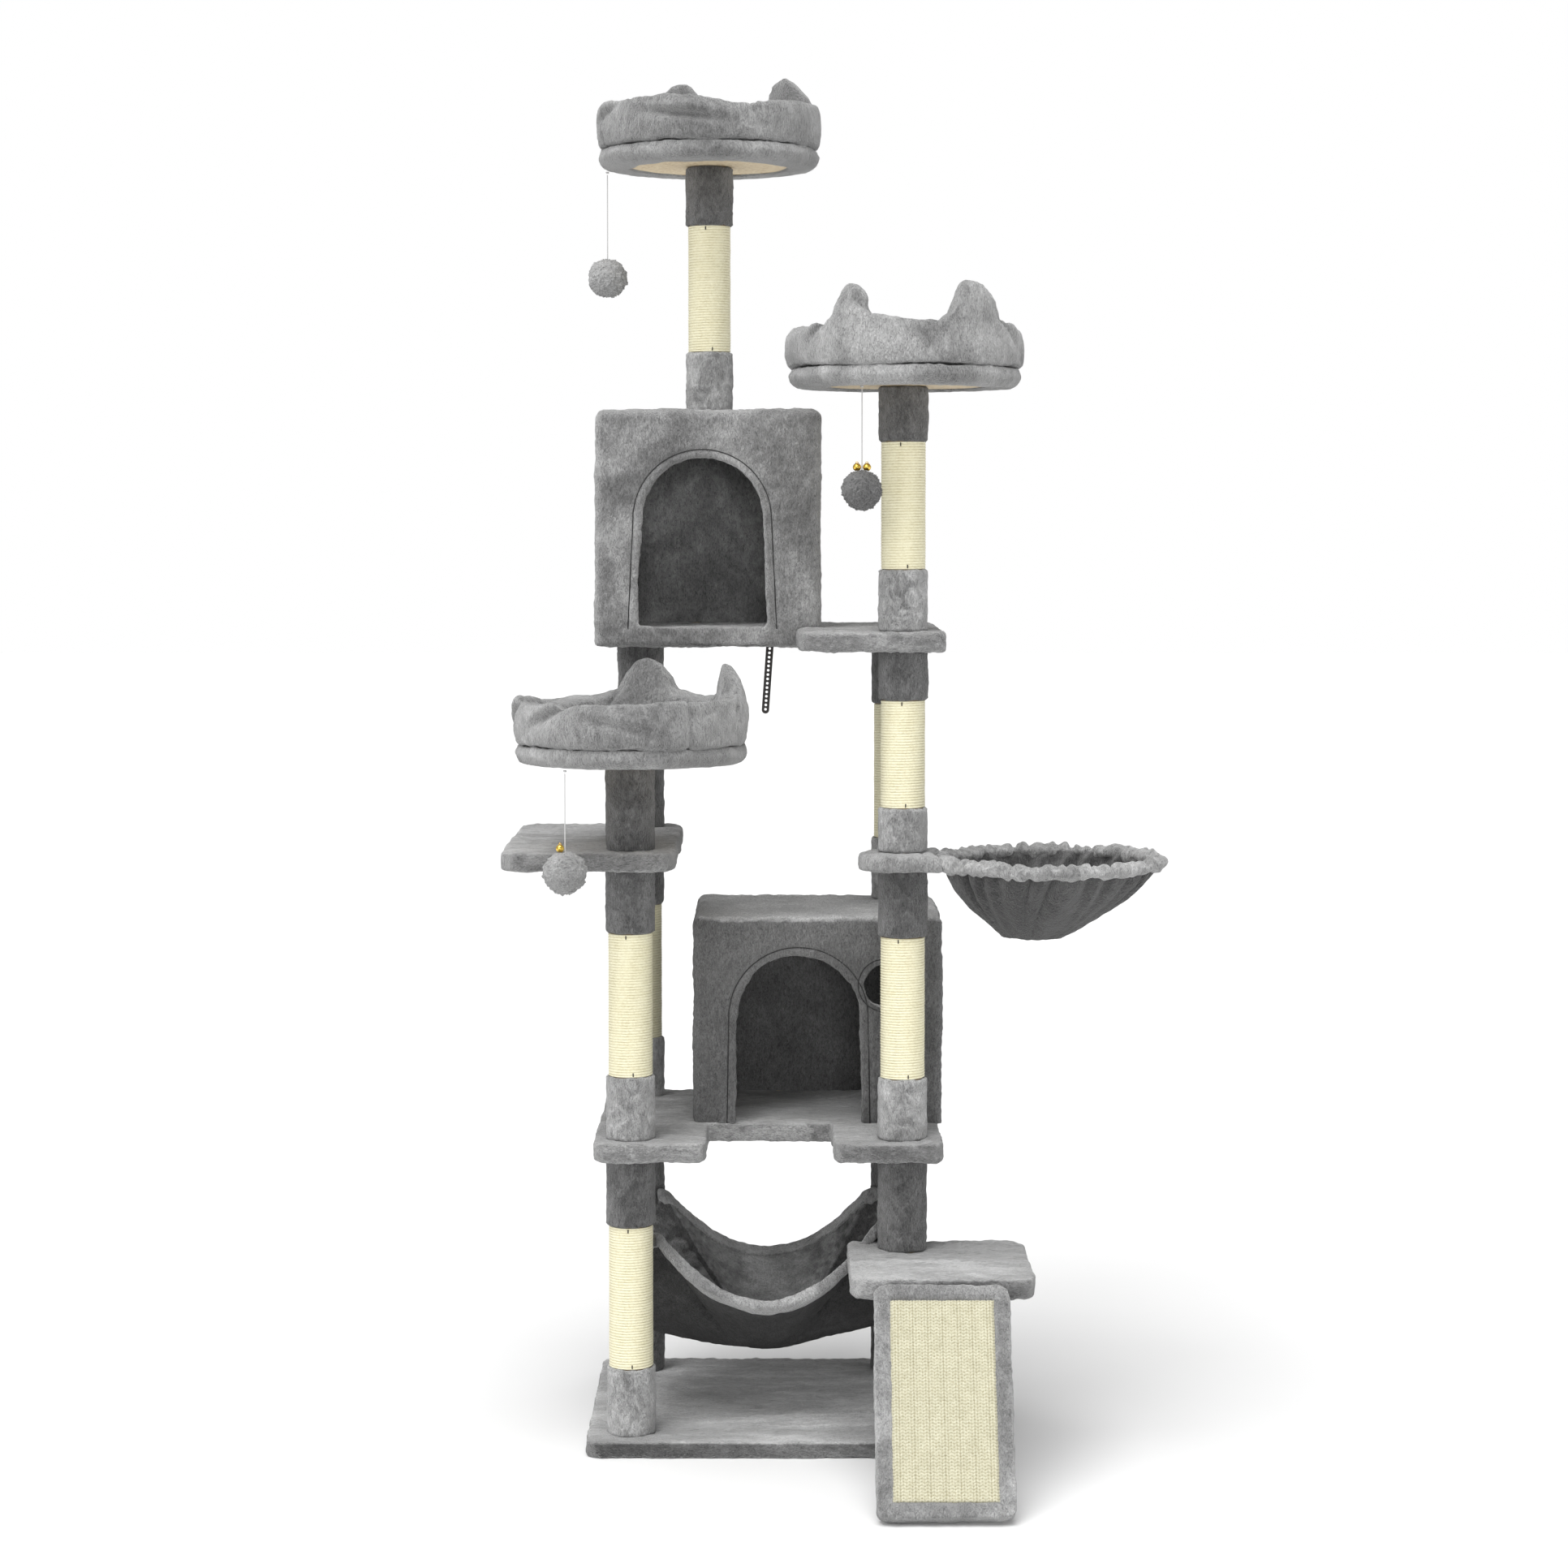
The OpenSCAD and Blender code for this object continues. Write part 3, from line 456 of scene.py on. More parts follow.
def applied(mesh, *modifiers):
    """The mesh after modifiers, each given as its kind and its settings."""
    temporary = placed("temporary", mesh)
    for kind, settings in modifiers:
        modifier = temporary.modifiers.new(kind, kind)
        for name, value in settings.items():
            setattr(modifier, name, value)
    bpy.context.view_layer.update()
    ready = temporary.evaluated_get(bpy.context.evaluated_depsgraph_get())
    result = bpy.data.meshes.new_from_object(ready)
    bpy.data.objects.remove(temporary)
    return result


def remeshed(mesh, rounds=8):
    """The mesh's solids joined into one even skin whose edges are rounded off."""
    return applied(mesh, ("REMESH", {"mode": "VOXEL", "voxel_size": VOXEL}),
                   ("SMOOTH", {"factor": 0.5, "iterations": rounds}))


def cut_out(mesh, cutter):
    """The mesh with the cutter's shape taken out of it."""
    helper = placed("cutter", cutter)
    result = applied(mesh, ("BOOLEAN", {"operation": "DIFFERENCE", "object": helper}))
    bpy.data.objects.remove(helper)
    return result


def arc(centre, radius, start, end, steps):
    angles = np.radians(np.linspace(start, end, steps))
    return [(centre[0] + radius * math.cos(a), centre[1] + radius * math.sin(a)) for a in angles]


def round_rectangle(x0, x1, y0, y1, r):
    corners = ((x1 - r, y1 - r), (x0 + r, y1 - r), (x0 + r, y0 + r), (x1 - r, y0 + r))
    return [p for i, centre in enumerate(corners) for p in arc(centre, r, 90 * i, 90 * i + 90, 7)]


def tube_along(name, points, radius, sides=6):
    """A thin closed tube that follows points."""
    line = np.asarray(points, float)
    ahead = np.gradient(line, axis=0)
    ahead /= np.linalg.norm(ahead, axis=1)[:, None]
    side = np.cross(ahead, [0.31, 0.17, 0.93])
    side /= np.linalg.norm(side, axis=1)[:, None]
    up = np.cross(side, ahead)
    turn = np.arange(sides) * TAU / sides
    ring = line[:, None] + radius * (side[:, None] * np.cos(turn)[None, :, None]
                                     + up[:, None] * np.sin(turn)[None, :, None])
    faces = grid_faces(len(line), sides, wrap_columns=True)
    last = (len(line) - 1) * sides
    faces += [list(range(sides)), list(range(last, last + sides))]
    return mesh_from(name, ring.reshape(-1, 3), faces)


def islands(node):
    """The box of each separate solid of a CAD node, from low to high."""
    made = bmesh.new()
    made.from_mesh(frame["nodes"][node].data)
    bmesh.ops.remove_doubles(made, verts=made.verts, dist=1e-6)
    left, boxes = set(made.verts), []
    while left:
        todo, group = [left.pop()], []
        while todo:
            vertex = todo.pop()
            group.append(vertex.co.copy())
            for edge in vertex.link_edges:
                other = edge.other_vert(vertex)
                if other in left:
                    left.remove(other)
                    todo.append(other)
        points = np.array(group)
        boxes.append((points.min(0), points.max(0)))
    made.free()
    return sorted(boxes, key=lambda b: tuple(b[0]))


# ---------------------------------------------------------------- camera and cords

def make_camera():
    camera = placed("camera", bpy.data.cameras.new("camera"))
    camera.data.lens = LENS
    camera.data.sensor_width = 36.0
    camera.data.shift_y = CAMERA_SHIFT
    camera.location = CAMERA_AT
    camera.rotation_euler = (math.radians(90 - CAMERA_TILT), 0, 0)
    bpy.context.scene.camera = camera


# Each toy: its cord's route from the knot to the middle of the ball
TOYS = {
    "top": [(-0.249, 0.110, z) for z in (
        1.920, 1.908, 1.896, 1.884, 1.872, 1.860, 1.848, 1.836, 1.824, 1.812, 1.800, 1.788, 1.776,
        1.768, 1.760)],
    "right": [(0.139, -0.272, z) for z in (
        1.573, 1.562, 1.552, 1.541, 1.530, 1.520, 1.510, 1.500, 1.490, 1.480, 1.470, 1.460, 1.448,
        1.437, 1.426)],
    "left": [(-0.290, -0.320, z) for z in (
        1.018, 1.008, 0.998, 0.988, 0.978, 0.968, 0.958, 0.948, 0.938, 0.928, 0.918, 0.908, 0.897,
        0.886, 0.874)],
}
CORD_WIDTH = 0.0016


def make_cord(name, route):
    curve = bpy.data.curves.new(name, "CURVE")
    curve.dimensions = "3D"
    curve.bevel_depth = CORD_WIDTH / 2
    curve.bevel_resolution = 3
    curve.use_fill_caps = True
    spline = curve.splines.new("POLY")
    spline.points.add(len(route) - 1)
    for point, place in zip(spline.points, route):
        point.co = (*place, 1)
    curve.materials.append(MATERIALS["cord"])
    cord = placed(name, curve)
    return cord


# ---------------------------------------------------------------- toys

def make_ball(name, centre, radius, seed):
    """A plush ball: short tufts that stand out of a lumpy round body."""
    made = bmesh.new()
    bmesh.ops.create_icosphere(made, subdivisions=6, radius=radius * 0.93)
    mesh = as_mesh(name, made)
    at = coordinates(mesh)
    lumps = 0.04 * lattice_noise(at, radius * 0.7, seed) + 0.03 * lattice_noise(at, 0.007, seed + 1)
    tufts = 0.11 * np.maximum(0, lattice_noise(at, 0.0030, seed + 2))
    tufts += 0.06 * np.maximum(0, lattice_noise(at, 0.0017, seed + 3))
    move_to(mesh, at * (1 + lumps + tufts)[:, None] + np.array(centre))
    return mesh


def make_bell(name, centre, radius):
    """A small round bell: a bright shell with a slot across its lower half and a loop on top."""
    made = bmesh.new()
    bmesh.ops.create_uvsphere(made, u_segments=32, v_segments=20, radius=radius)
    mesh = as_mesh(name, made)
    at = coordinates(mesh)
    slot = bump(at[:, 0], radius * 0.16) * smooth_step(-at[:, 2] / radius * 2)
    band = 0.04 * bump(at[:, 2], radius * 0.08)
    move_to(mesh, at * (1 - 0.22 * slot + band)[:, None] + np.array(centre))
    turn = np.linspace(0, TAU, 17)
    ring, lift = radius * 0.28, radius * 1.02
    loop = [(centre[0] + ring * math.cos(a), centre[1], centre[2] + lift + ring * math.sin(a)) for a in turn]
    return join_meshes(name, [mesh, tube_along(name + "_loop", loop, radius * 0.09)])


def make_knot(name, centre, radius):
    """A small knot of elastic: three loops drawn tight round each other."""
    turn = np.linspace(0, TAU, 49)
    line = np.stack([np.sin(turn) + 2 * np.sin(2 * turn), np.cos(turn) - 2 * np.cos(2 * turn),
                     -np.sin(3 * turn)], axis=1)
    line = line * radius * 0.21 + np.array(centre)
    return tube_along(name, line, CORD_WIDTH * 0.6, 8)


def bell_boxes(node):
    """Outer boxes of a node's bells; each bell is hollow, so its inner wall is left out."""
    found = islands(node)
    largest = max(high[2] - low[2] for low, high in found)
    return [b for b in found if b[1][2] - b[0][2] > 0.95 * largest]


def make_toys():
    for seed, (side, route) in enumerate(TOYS.items()):
        body = side + "_toy"
        look = "dark_pompom" if side == "right" else "pompom"
        low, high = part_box(side + "_toy_ball")
        centre = (low + high) / 2
        ball = piece(side + "_ball", make_ball(side + "_ball", centre, (high.z - low.z) / 2, 40 + 7 * seed),
                     look, body, side + "_toy_ball")
        node = {"right": "right_toy_bells", "left": "left_toy_bell"}.get(side)
        if node:
            bells = [make_bell("bell", (low + high) / 2 - [0, 0, 0.002], (high[2] - low[2]) / 2)
                     for low, high in bell_boxes(node)]
            piece(side + "_bells", join_meshes(side + "_bells", bells), "gold", body, node)
        cord = make_cord(side + "_cord", route)
        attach(cord, body)
        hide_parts(side + "_toy_cord")
        low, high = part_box(side + "_toy_knot")
        piece(side + "_knot", make_knot(side + "_knot", (low + high) / 2, (high.z - low.z) / 2), "cord",
              side + "_knot", side + "_toy_knot")


# ---------------------------------------------------------------- covered boards

def make_slab(name, outlines, low, high, seed, floor=None, rounds=9, grow=0.0015):
    """A board in its plush cover: the joined outlines, with soft edges."""
    made = bmesh.new()
    for outline in outlines:
        prism(made, outline, low - grow * (floor is None), high + grow)
    mesh = remeshed(as_mesh(name, made), rounds=rounds)
    return raise_pile(mesh, seed, floor=floor)


# Notch of the lower platform: its left and right edges, and its back edge
NOTCH = (-0.091, 0.102, -0.070)
# Upper platform: front edge of its main part, and left edge of its front right shelf
UPPER_MAIN_FRONT = -0.049
UPPER_TAB_LEFT = 0.049
# Corner radius of each board
CORNERS = {"base": 0.022, "step": 0.026, "left_shelf": 0.042, "lower_platform": 0.026,
           "upper_platform": 0.022}


def outline_of(node):
    """Edges of a board's cloth, (x0, x1, y0, y1), and its cover's lower and upper faces."""
    low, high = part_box(node + "_cover")
    g = BOARD_GROW
    return (low.x - g, high.x + g, low.y - g, high.y + g), low.z, high.z


def make_board(node, parts, seed, look="board_plush", floor=None):
    """A board's plush over one or more outlines, each given as its edges."""
    _, low, high = outline_of(node)
    outlines = [round_rectangle(*edges, CORNERS[node]) for edges in parts]
    mesh = make_slab(node + "_plush", outlines, low, high, seed, floor=floor)
    piece(node + "_plush", mesh, look, replaced=node + "_cover")


def make_boards():
    make_board("base", [outline_of("base")[0]], 1, "base_plush", floor=0.0)
    for seed, node in enumerate(("step", "left_shelf")):
        make_board(node, [outline_of(node)[0]], 10 + seed)
    x0, x1, y0, y1 = outline_of("lower_platform")[0]
    left, right, back = NOTCH[0] + BOARD_GROW, NOTCH[1] - BOARD_GROW, NOTCH[2] - BOARD_GROW
    make_board("lower_platform", [(x0, left, y0, y1), (right, x1, y0, y1), (x0, x1, back, y1)], 20)
    x0, x1, y0, y1 = outline_of("upper_platform")[0]
    front, tab = UPPER_MAIN_FRONT - BOARD_GROW, UPPER_TAB_LEFT - BOARD_GROW
    make_board("upper_platform", [(x0, x1, front, y1), (tab, x1, y0, y1)], 30)


# ---------------------------------------------------------------- ramp

RAMP_TILT = math.radians(59)
RAMP_THICK = 0.025
RAMP_BORDER = 0.022
# Width and length of one stitch of the mat, and the step between its points
STITCH_WIDE, STITCH_LONG, STITCH_STEP = 0.0042, 0.0046, 0.0011


def ramp_place():
    """The ramp's own plane: y runs up the slope and z out of it, from the foot's lower edge."""
    low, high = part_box("ramp_cover")
    foot = Vector(((low.x + high.x) / 2, low.y + RAMP_THICK * math.sin(RAMP_TILT), 0))
    return Matrix.Translation(foot) @ Matrix.Rotation(RAMP_TILT, 4, "X")


def make_ramp():
    low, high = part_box("ramp_cover")
    width = high.x - low.x
    length = (high.z - RAMP_THICK * math.cos(RAMP_TILT)) / math.sin(RAMP_TILT)
    place = ramp_place()
    made = bmesh.new()
    outline = round_rectangle(-width / 2 - 0.001, width / 2 + 0.001, 0, length + 0.001, 0.016)
    prism(made, outline, 0, RAMP_THICK + 0.001)
    mesh = remeshed(as_mesh("ramp_plush", made), rounds=7)
    raise_pile(mesh, 60, slack=0.001)
    at = coordinates(mesh)
    edge = np.minimum(width / 2 - RAMP_BORDER - np.abs(at[:, 0]),
                      np.minimum(at[:, 1], length - at[:, 1]) - RAMP_BORDER)
    well = smooth_step((edge + 0.004) / 0.006) * (at[:, 2] > RAMP_THICK * 0.6)
    at[:, 2] -= 0.006 * well
    move_to(mesh, at)
    mesh.transform(place)
    at = coordinates(mesh)
    at[:, 2] = np.maximum(at[:, 2], 0.0)
    move_to(mesh, at)
    piece("ramp_plush", mesh, "plush", replaced="ramp_cover")
    make_mat(width - 2 * RAMP_BORDER, length - 2 * RAMP_BORDER, place)


def make_mat(width, length, place):
    """A woven sisal mat: rows of slanted stitches that lean one way and then the other."""
    columns, rows = int(width / STITCH_STEP) + 1, int(length / STITCH_STEP) + 1
    x = np.linspace(-width / 2, width / 2, columns)
    y = np.linspace(0, length, rows)
    u, v = np.meshgrid(x, y)
    column = np.floor(u / STITCH_WIDE)
    lean = np.where(column % 2 == 0, 1.0, -1.0)
    across = u / STITCH_WIDE - column - 0.5
    along = (v + lean * across * STITCH_LONG * 0.55) / STITCH_LONG
    phase = along - np.floor(along) - 0.5
    places = np.stack([u.ravel(), v.ravel(), np.zeros(u.size)], axis=1)
    jitter = lattice_noise(places, 0.012, 71).reshape(u.shape)
    crown = np.sqrt(np.clip(1 - (across * 1.85) ** 2, 0, 1)) * np.sqrt(np.clip(1 - (phase * 1.96) ** 2, 0, 1))
    z = RAMP_THICK - 0.0030 + 0.0027 * crown + 0.0004 * jitter
    rim = np.minimum(np.minimum(u + width / 2, width / 2 - u), np.minimum(v, length - v))
    z -= 0.003 * (1 - smooth_step(rim / 0.003))
    top = np.stack([u, v + RAMP_BORDER, z], axis=-1).reshape(-1, 3)
    bottom = top.copy()
    bottom[:, 2] = RAMP_THICK - 0.008
    count = len(top)
    faces = grid_faces(rows, columns) + grid_faces(rows, columns, start=count)
    ring = ([(0, j) for j in range(columns)] + [(i, columns - 1) for i in range(1, rows)]
            + [(rows - 1, j) for j in range(columns - 2, -1, -1)] + [(i, 0) for i in range(rows - 2, 0, -1)])
    edge = [i * columns + j for i, j in ring]
    faces += [[a, b, b + count, a + count] for a, b in zip(edge, edge[1:] + edge[:1])]
    mesh = mesh_from("ramp_mat_weave", np.concatenate([top, bottom]), faces)
    # The crown's height also sets the painted shade between the stitches.
    mark(mesh, "crown", np.concatenate([crown.ravel(), np.zeros(count)]))
    mesh.transform(place)
    piece("ramp_mat_weave", mesh, "mat", replaced="ramp_mat")


# ---------------------------------------------------------------- houses

# Doorways: centre, half width at the floor, half width and height of the arch's centre over the floor
DOORS = {"lower": (0.048, 0.097, 0.094, 0.164), "upper": (-0.098, 0.101, 0.093, 0.167)}
# Window of the lower house: its middle, as x and height over the floor, and its radius
WINDOW_AT = (0.179, 0.212)
WINDOW_R = 0.033
# Thickness of the walls, radius of their outer edges, and how far the stitching lies from a doorway
# and from the window
WALL = 0.019
HOUSE_EDGE = 0.015
SEAM_IN = 0.012
WINDOW_SEAM_IN = 0.007


def door_line(door, floor, grow, steps=25):
    """The doorway's edge from the left foot over the arch to the right foot, as (x, z)."""
    x, foot, half, centre = door
    left = [(x - foot - grow, floor), (x - half - grow, floor + centre)]
    over = arc((x, floor + centre), half + grow, 180, 0, steps)
    return left[:1] + over + [(x + foot + grow, floor)]


def box_outline(x0, x1, y0, y1):
    return [(x0, y0), (x1, y0), (x1, y1), (x0, y1)]


def make_house(which, seed, skirt=0.0):
    """A house's plush: front with its doorway, walls, roof and, where it hangs below its floor, a skirt."""
    low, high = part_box(which + "_house_cover")
    x0, y0, x1, y1, top = low.x, low.y, high.x, high.y, high.z
    floor = low.z + skirt
    grow = HOUSE_GROW
    upright = Matrix.Rotation(math.radians(90), 4, "X")
    door = door_line(DOORS[which], floor, -0.001)
    front = [(x0, floor), *door, (x1, floor), (x1, top - 0.001), (x0, top - 0.001)]
    made = bmesh.new()
    prism(made, front, -(y0 + WALL), -(y0 - grow), upright)
    front_mesh = as_mesh(which, made)
    if which == "lower":
        hole = bmesh.new()
        at = (WINDOW_AT[0], floor + WINDOW_AT[1])
        prism(hole, arc(at, WINDOW_R - 0.001, 0, 345, 24), -(y0 + 0.05), -(y0 - 0.05), upright)
        front_mesh = cut_out(front_mesh, as_mesh("hole", hole))
    made = bmesh.new()
    for edges in ((x0 - grow, x0 + WALL, y0, y1), (x1 - WALL, x1 + grow, y0, y1),
                  (x0, x1, y1 - WALL, y1 + grow)):
        prism(made, box_outline(*edges), floor, top)
    prism(made, round_rectangle(x0 - grow, x1 + grow, y0 - grow, y1 + grow, 0.012), top - WALL, top + grow)
    if skirt:
        for edges in ((x0 - grow, UPPER_TAB_LEFT, y0 - grow, y0 + 0.005), (x0 - grow, x0 + 0.005, y0, y1),
                      (x0, x1, y1 - 0.005, y1 + grow)):
            prism(made, box_outline(*edges), low.z, floor + 0.004)
    mesh = remeshed(join_meshes(which, [front_mesh, as_mesh(which, made)]), rounds=6)
    round_edges(mesh, (x0 - grow, y0 - grow, -1.0), (x1 + grow, y1 + grow, top + grow), HOUSE_EDGE)
    raise_pile(mesh, seed)
    press_seams(mesh, which, y0, floor)
    if skirt:
        press_behind_strap(mesh)
    # The lower house gets the copy painted with deeper shade on its walls and more light on its top.
    look = "house_plush" if which == "lower" else "wall_plush"
    piece(which + "_house_plush", mesh, look, replaced=which + "_house_cover")


def round_edges(mesh, low, high, radius):
    """Rounds the outer edges of a box: what lies outside its rounded skin moves onto it."""
    at = coordinates(mesh)
    near = np.clip(at, np.array(low) + radius, np.array(high) - radius)
    out = at - near
    over = np.maximum(np.linalg.norm(out, axis=1) / radius, 1.0)
    move_to(mesh, near + out / over[:, None])


def press_behind_strap(mesh):
    """Flattens the plush as far round the screw as the end of the strap swings."""
    low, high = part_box("wall_strap")
    at = coordinates(mesh)
    beyond = np.hypot(at[:, 0] - (low.x + high.x) / 2, at[:, 2] - high.z) - (high.z - low.z)
    at[:, 1] = np.minimum(at[:, 1], low.y - 0.0009 + 0.005 * smooth_step(beyond / 0.03))
    move_to(mesh, at)


def press_seams(mesh, which, front, floor):
    """Pulls the plush in along the stitching round the doorway and the window."""
    x, foot, half, centre = DOORS[which]
    at = coordinates(mesh)
    up = np.clip((at[:, 2] - floor) / centre, 0, 1)
    straight = np.abs(at[:, 0] - x) - (foot + (half - foot) * up)
    over = np.hypot(at[:, 0] - x, at[:, 2] - floor - centre) - half
    away = np.where(at[:, 2] < floor + centre, straight, over) - SEAM_IN
    groove = bump(away, 0.0035)
    if which == "lower":
        ring = np.hypot(at[:, 0] - WINDOW_AT[0], at[:, 2] - floor - WINDOW_AT[1]) - WINDOW_R - WINDOW_SEAM_IN
        groove = np.maximum(groove, bump(ring, 0.003))
    face = smooth_step((front + 0.008 - at[:, 1]) / 0.006) * (at[:, 2] > floor)
    at[:, 1] += face * groove * (front + 0.0022 - at[:, 1])
    move_to(mesh, at)


def make_seam(name, house, line):
    """Dark stitching along a line of (x, z) points, in the groove on the front of a house."""
    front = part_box(house + "_house_cover")[0].y + 0.0016
    mesh = tube_along(name, [(x, front, z) for x, z in line], 0.0009)
    piece(name, mesh, "thread")


def make_houses():
    make_house("lower", 80)
    make_house("upper", 90, skirt=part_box("upper_platform_cover")[1].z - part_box("upper_house_cover")[0].z)
    floors = {which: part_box(which + "_platform_cover")[1].z for which in DOORS}
    for which, floor in floors.items():
        make_seam(which + "_door_seam", which, door_line(DOORS[which], floor, SEAM_IN, 41))
    middle = (WINDOW_AT[0], floors["lower"] + WINDOW_AT[1])
    make_seam("window_seam", "lower", arc(middle, WINDOW_R + WINDOW_SEAM_IN, 0, 360, 41))


# ---------------------------------------------------------------- posts

def axis_of(low, high):
    """Middle of an upright round piece, as x and y, and its radius."""
    return (low[0] + high[0]) / 2, (low[1] + high[1]) / 2, (high[0] - low[0]) / 2


def make_sleeve(low, high, seed):
    """A plush sleeve on a post: a closed tube with soft ends."""
    x, y, outer = axis_of(low, high)
    inner = outer - SKIN + 0.0006
    around = 64
    z0, z1 = low[2] - 0.0004, high[2] + 0.0004
    rise = max(4, int((z1 - z0) / 0.0036))
    profile = [(inner, z0 + 0.002), (inner + 0.002, z0), (outer - 0.002, z0 + 0.0004)]
    profile += [(outer + 0.0006, z) for z in np.linspace(z0 + 0.003, z1 - 0.003, rise)]
    profile += [(outer - 0.002, z1 - 0.0004), (inner + 0.002, z1), (inner, z1 - 0.002)]
    turn = np.arange(around) * TAU / around
    rows = np.array([[(x + r * math.cos(a), y + r * math.sin(a), z) for a in turn] for r, z in profile])
    mesh = mesh_from("sleeve", rows.reshape(-1, 3), grid_faces(len(profile), around, True, True))
    at = coordinates(mesh)
    out = np.stack([at[:, 0] - x, at[:, 1] - y, 0 * at[:, 2]], axis=1)
    radius = np.linalg.norm(out, axis=1)
    out /= radius[:, None]
    shell = smooth_step((radius - inner - 0.001) / 0.003)
    lift = 0.0008 * lattice_noise(at, 0.03, seed) + 0.0009 * lattice_noise(at, 0.009, seed + 1)
    lift += 0.0007 * lattice_noise(at, 0.0045, seed + 2)
    at += out * (lift * shell)[:, None]
    end = bump(at[:, 2] - z0, 0.003) - bump(at[:, 2] - z1, 0.003)
    around_post = np.stack([at[:, 0], at[:, 1], 0 * at[:, 2]], axis=1)
    at[:, 2] += end * 0.0011 * (1 + lattice_noise(around_post, 0.006, seed + 3))
    move_to(mesh, at)
    return mesh


# Rope: distance from one turn to the next, points round a post, and rows of points in one turn
ROPE_PITCH, ROPE_AROUND, ROPE_ROWS = 0.0041, 72, 6


def make_rope(low, high, seed):
    """Sisal rope wound in a close helix round a post."""
    x, y, outer = axis_of(low, high)
    around = ROPE_AROUND
    rows = int((high[2] - low[2]) / ROPE_PITCH * ROPE_ROWS) + 1
    z = np.linspace(low[2], high[2], rows)
    turn = np.arange(around) * TAU / around
    zz, aa = np.meshgrid(z, turn, indexing="ij")
    place = (zz - low[2]) / ROPE_PITCH - aa / TAU
    phase = place - np.floor(place) - 0.5
    flat = np.stack([np.cos(aa).ravel() * 0.05, np.sin(aa).ravel() * 0.05, zz.ravel()], axis=1)
    slack = lattice_noise(flat, 0.012, seed).reshape(zz.shape)
    height = np.sqrt(np.clip(1 - (phase * 1.86) ** 2, 0.05, 1))
    twist = np.sin((aa * outer / 0.0021 + phase * 2.0)) * 0.00012
    r = outer - 0.0019 + 0.0019 * height + 0.00025 * slack + twist * height
    points = np.stack([x + r * np.cos(aa), y + r * np.sin(aa), zz], axis=-1)
    inner = outer - 0.003
    caps = [np.stack([x + inner * np.cos(turn), y + inner * np.sin(turn), np.full(around, level)], axis=-1)
            for level in (low[2], high[2])]
    points = np.concatenate([caps[0][None], points, caps[1][None]])
    mesh = mesh_from("rope", points.reshape(-1, 3), grid_faces(rows + 2, around, True, True))
    end = np.zeros(around)
    # The crown's height also sets the painted shade in the rope's grooves.
    mark(mesh, "crown", np.concatenate([end, height.ravel(), end]))
    return mesh


def make_staples(wraps):
    """Small dark staples that hold the ends of each rope."""
    parts = []
    for i, (low, high) in enumerate(wraps):
        x, y, r = axis_of(low, high)
        for side, z in ((-1, high[2] - 0.004), (1, low[2] + 0.004)):
            a = math.radians(-90 + side * (5 + 4 * (i % 3)))
            made = bmesh.new()
            size = Matrix.Diagonal((0.0013, 0.0016, 0.0052, 1))
            place = Matrix.Translation((x + (r + 0.0002) * math.cos(a), y + (r + 0.0002) * math.sin(a), z))
            bmesh.ops.create_cube(made, size=1, matrix=place @ Matrix.Rotation(a, 4, "Z") @ size)
            parts.append(as_mesh("staple", made))
    piece("rope_staples", join_meshes("staples", parts), "dark_steel")


def make_posts():
    seed = 200
    boards = ("lower_platform", "left_shelf", "upper_platform", "basket_bracket", "step")
    undersides = [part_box(b + "_cover")[0].z for b in boards] + [perch_place(s)[2] for s in PERCHES]
    for side in ("front_left", "back_left", "front_right", "back_right", "top"):
        node = side + "_sleeves"
        parts = []
        for low, high in islands(node):
            seed += 5
            sleeve = make_sleeve(low, high, seed)
            # Sleeves that end under a board get the darker copy, painted shade under the board.
            under = min(abs(high[2] - level) for level in undersides) < 0.008
            sleeve.polygons.foreach_set("material_index", np.full(len(sleeve.polygons), int(under), np.int32))
            for _ in range(2):
                sleeve.materials.append(None)
            parts.append(sleeve)
        mesh = join_meshes(node, parts)
        piece(side + "_sleeve_plush", mesh, "sleeve_plush", replaced=node, also=["under_board_shade_plush"])
    wraps = []
    for side in ("front_left", "front_right", "back", "top"):
        node = side + "_sisal"
        parts = []
        for low, high in islands(node):
            seed += 5
            parts.append(make_rope(low, high, seed))
            wraps.append((low, high))
        piece(side + "_sisal_rope", join_meshes(node, parts), "sisal", replaced=node)
    make_staples(wraps)


# ---------------------------------------------------------------- perches

# Each ear: its direction in degrees from +X, how far it reaches either way, its height and its curl.
# Each crease: its direction, height, slope, half length and depth. Each sink: its direction, width
# and depth. Last, the direction of the stitched join.
PERCHES = {
    "left": (((3, 17, 18, 0.050, 0.012), (83, 17, 17, 0.050, 0.006)),
             ((228, 0.050, 0.5, 0.040, 0.011), (262, 0.035, -0.2, 0.050, 0.006),
              (190, 0.045, 0.7, 0.035, 0.009)),
             ((215, 22, 0.006), (150, 30, 0.006)), 302),
    "right": (((237, 9, 13, 0.048, 0.002), (302, 10, 24, 0.053, -0.006)),
              ((222, 0.062, 1.1, 0.030, 0.009), (246, 0.086, -0.5, 0.022, 0.006),
               (288, 0.075, 0.9, 0.026, 0.005), (330, 0.055, -0.8, 0.045, 0.007)),
              ((192, 26, 0.018), (352, 26, 0.014), (276, 12, 0.003)), 80),
    "top": (((35, 18, 18, 0.050, 0.012), (107, 13, 20, 0.053, 0.006)),
            ((256, 0.038, -0.14, 0.055, 0.014), (243, 0.058, -0.1, 0.040, 0.005),
             (296, 0.040, -2.5, 0.022, 0.007), (205, 0.050, 0.4, 0.035, 0.007)),
            ((290, 26, 0.010), (265, 20, 0.004), (160, 20, 0.004)), 200),
}
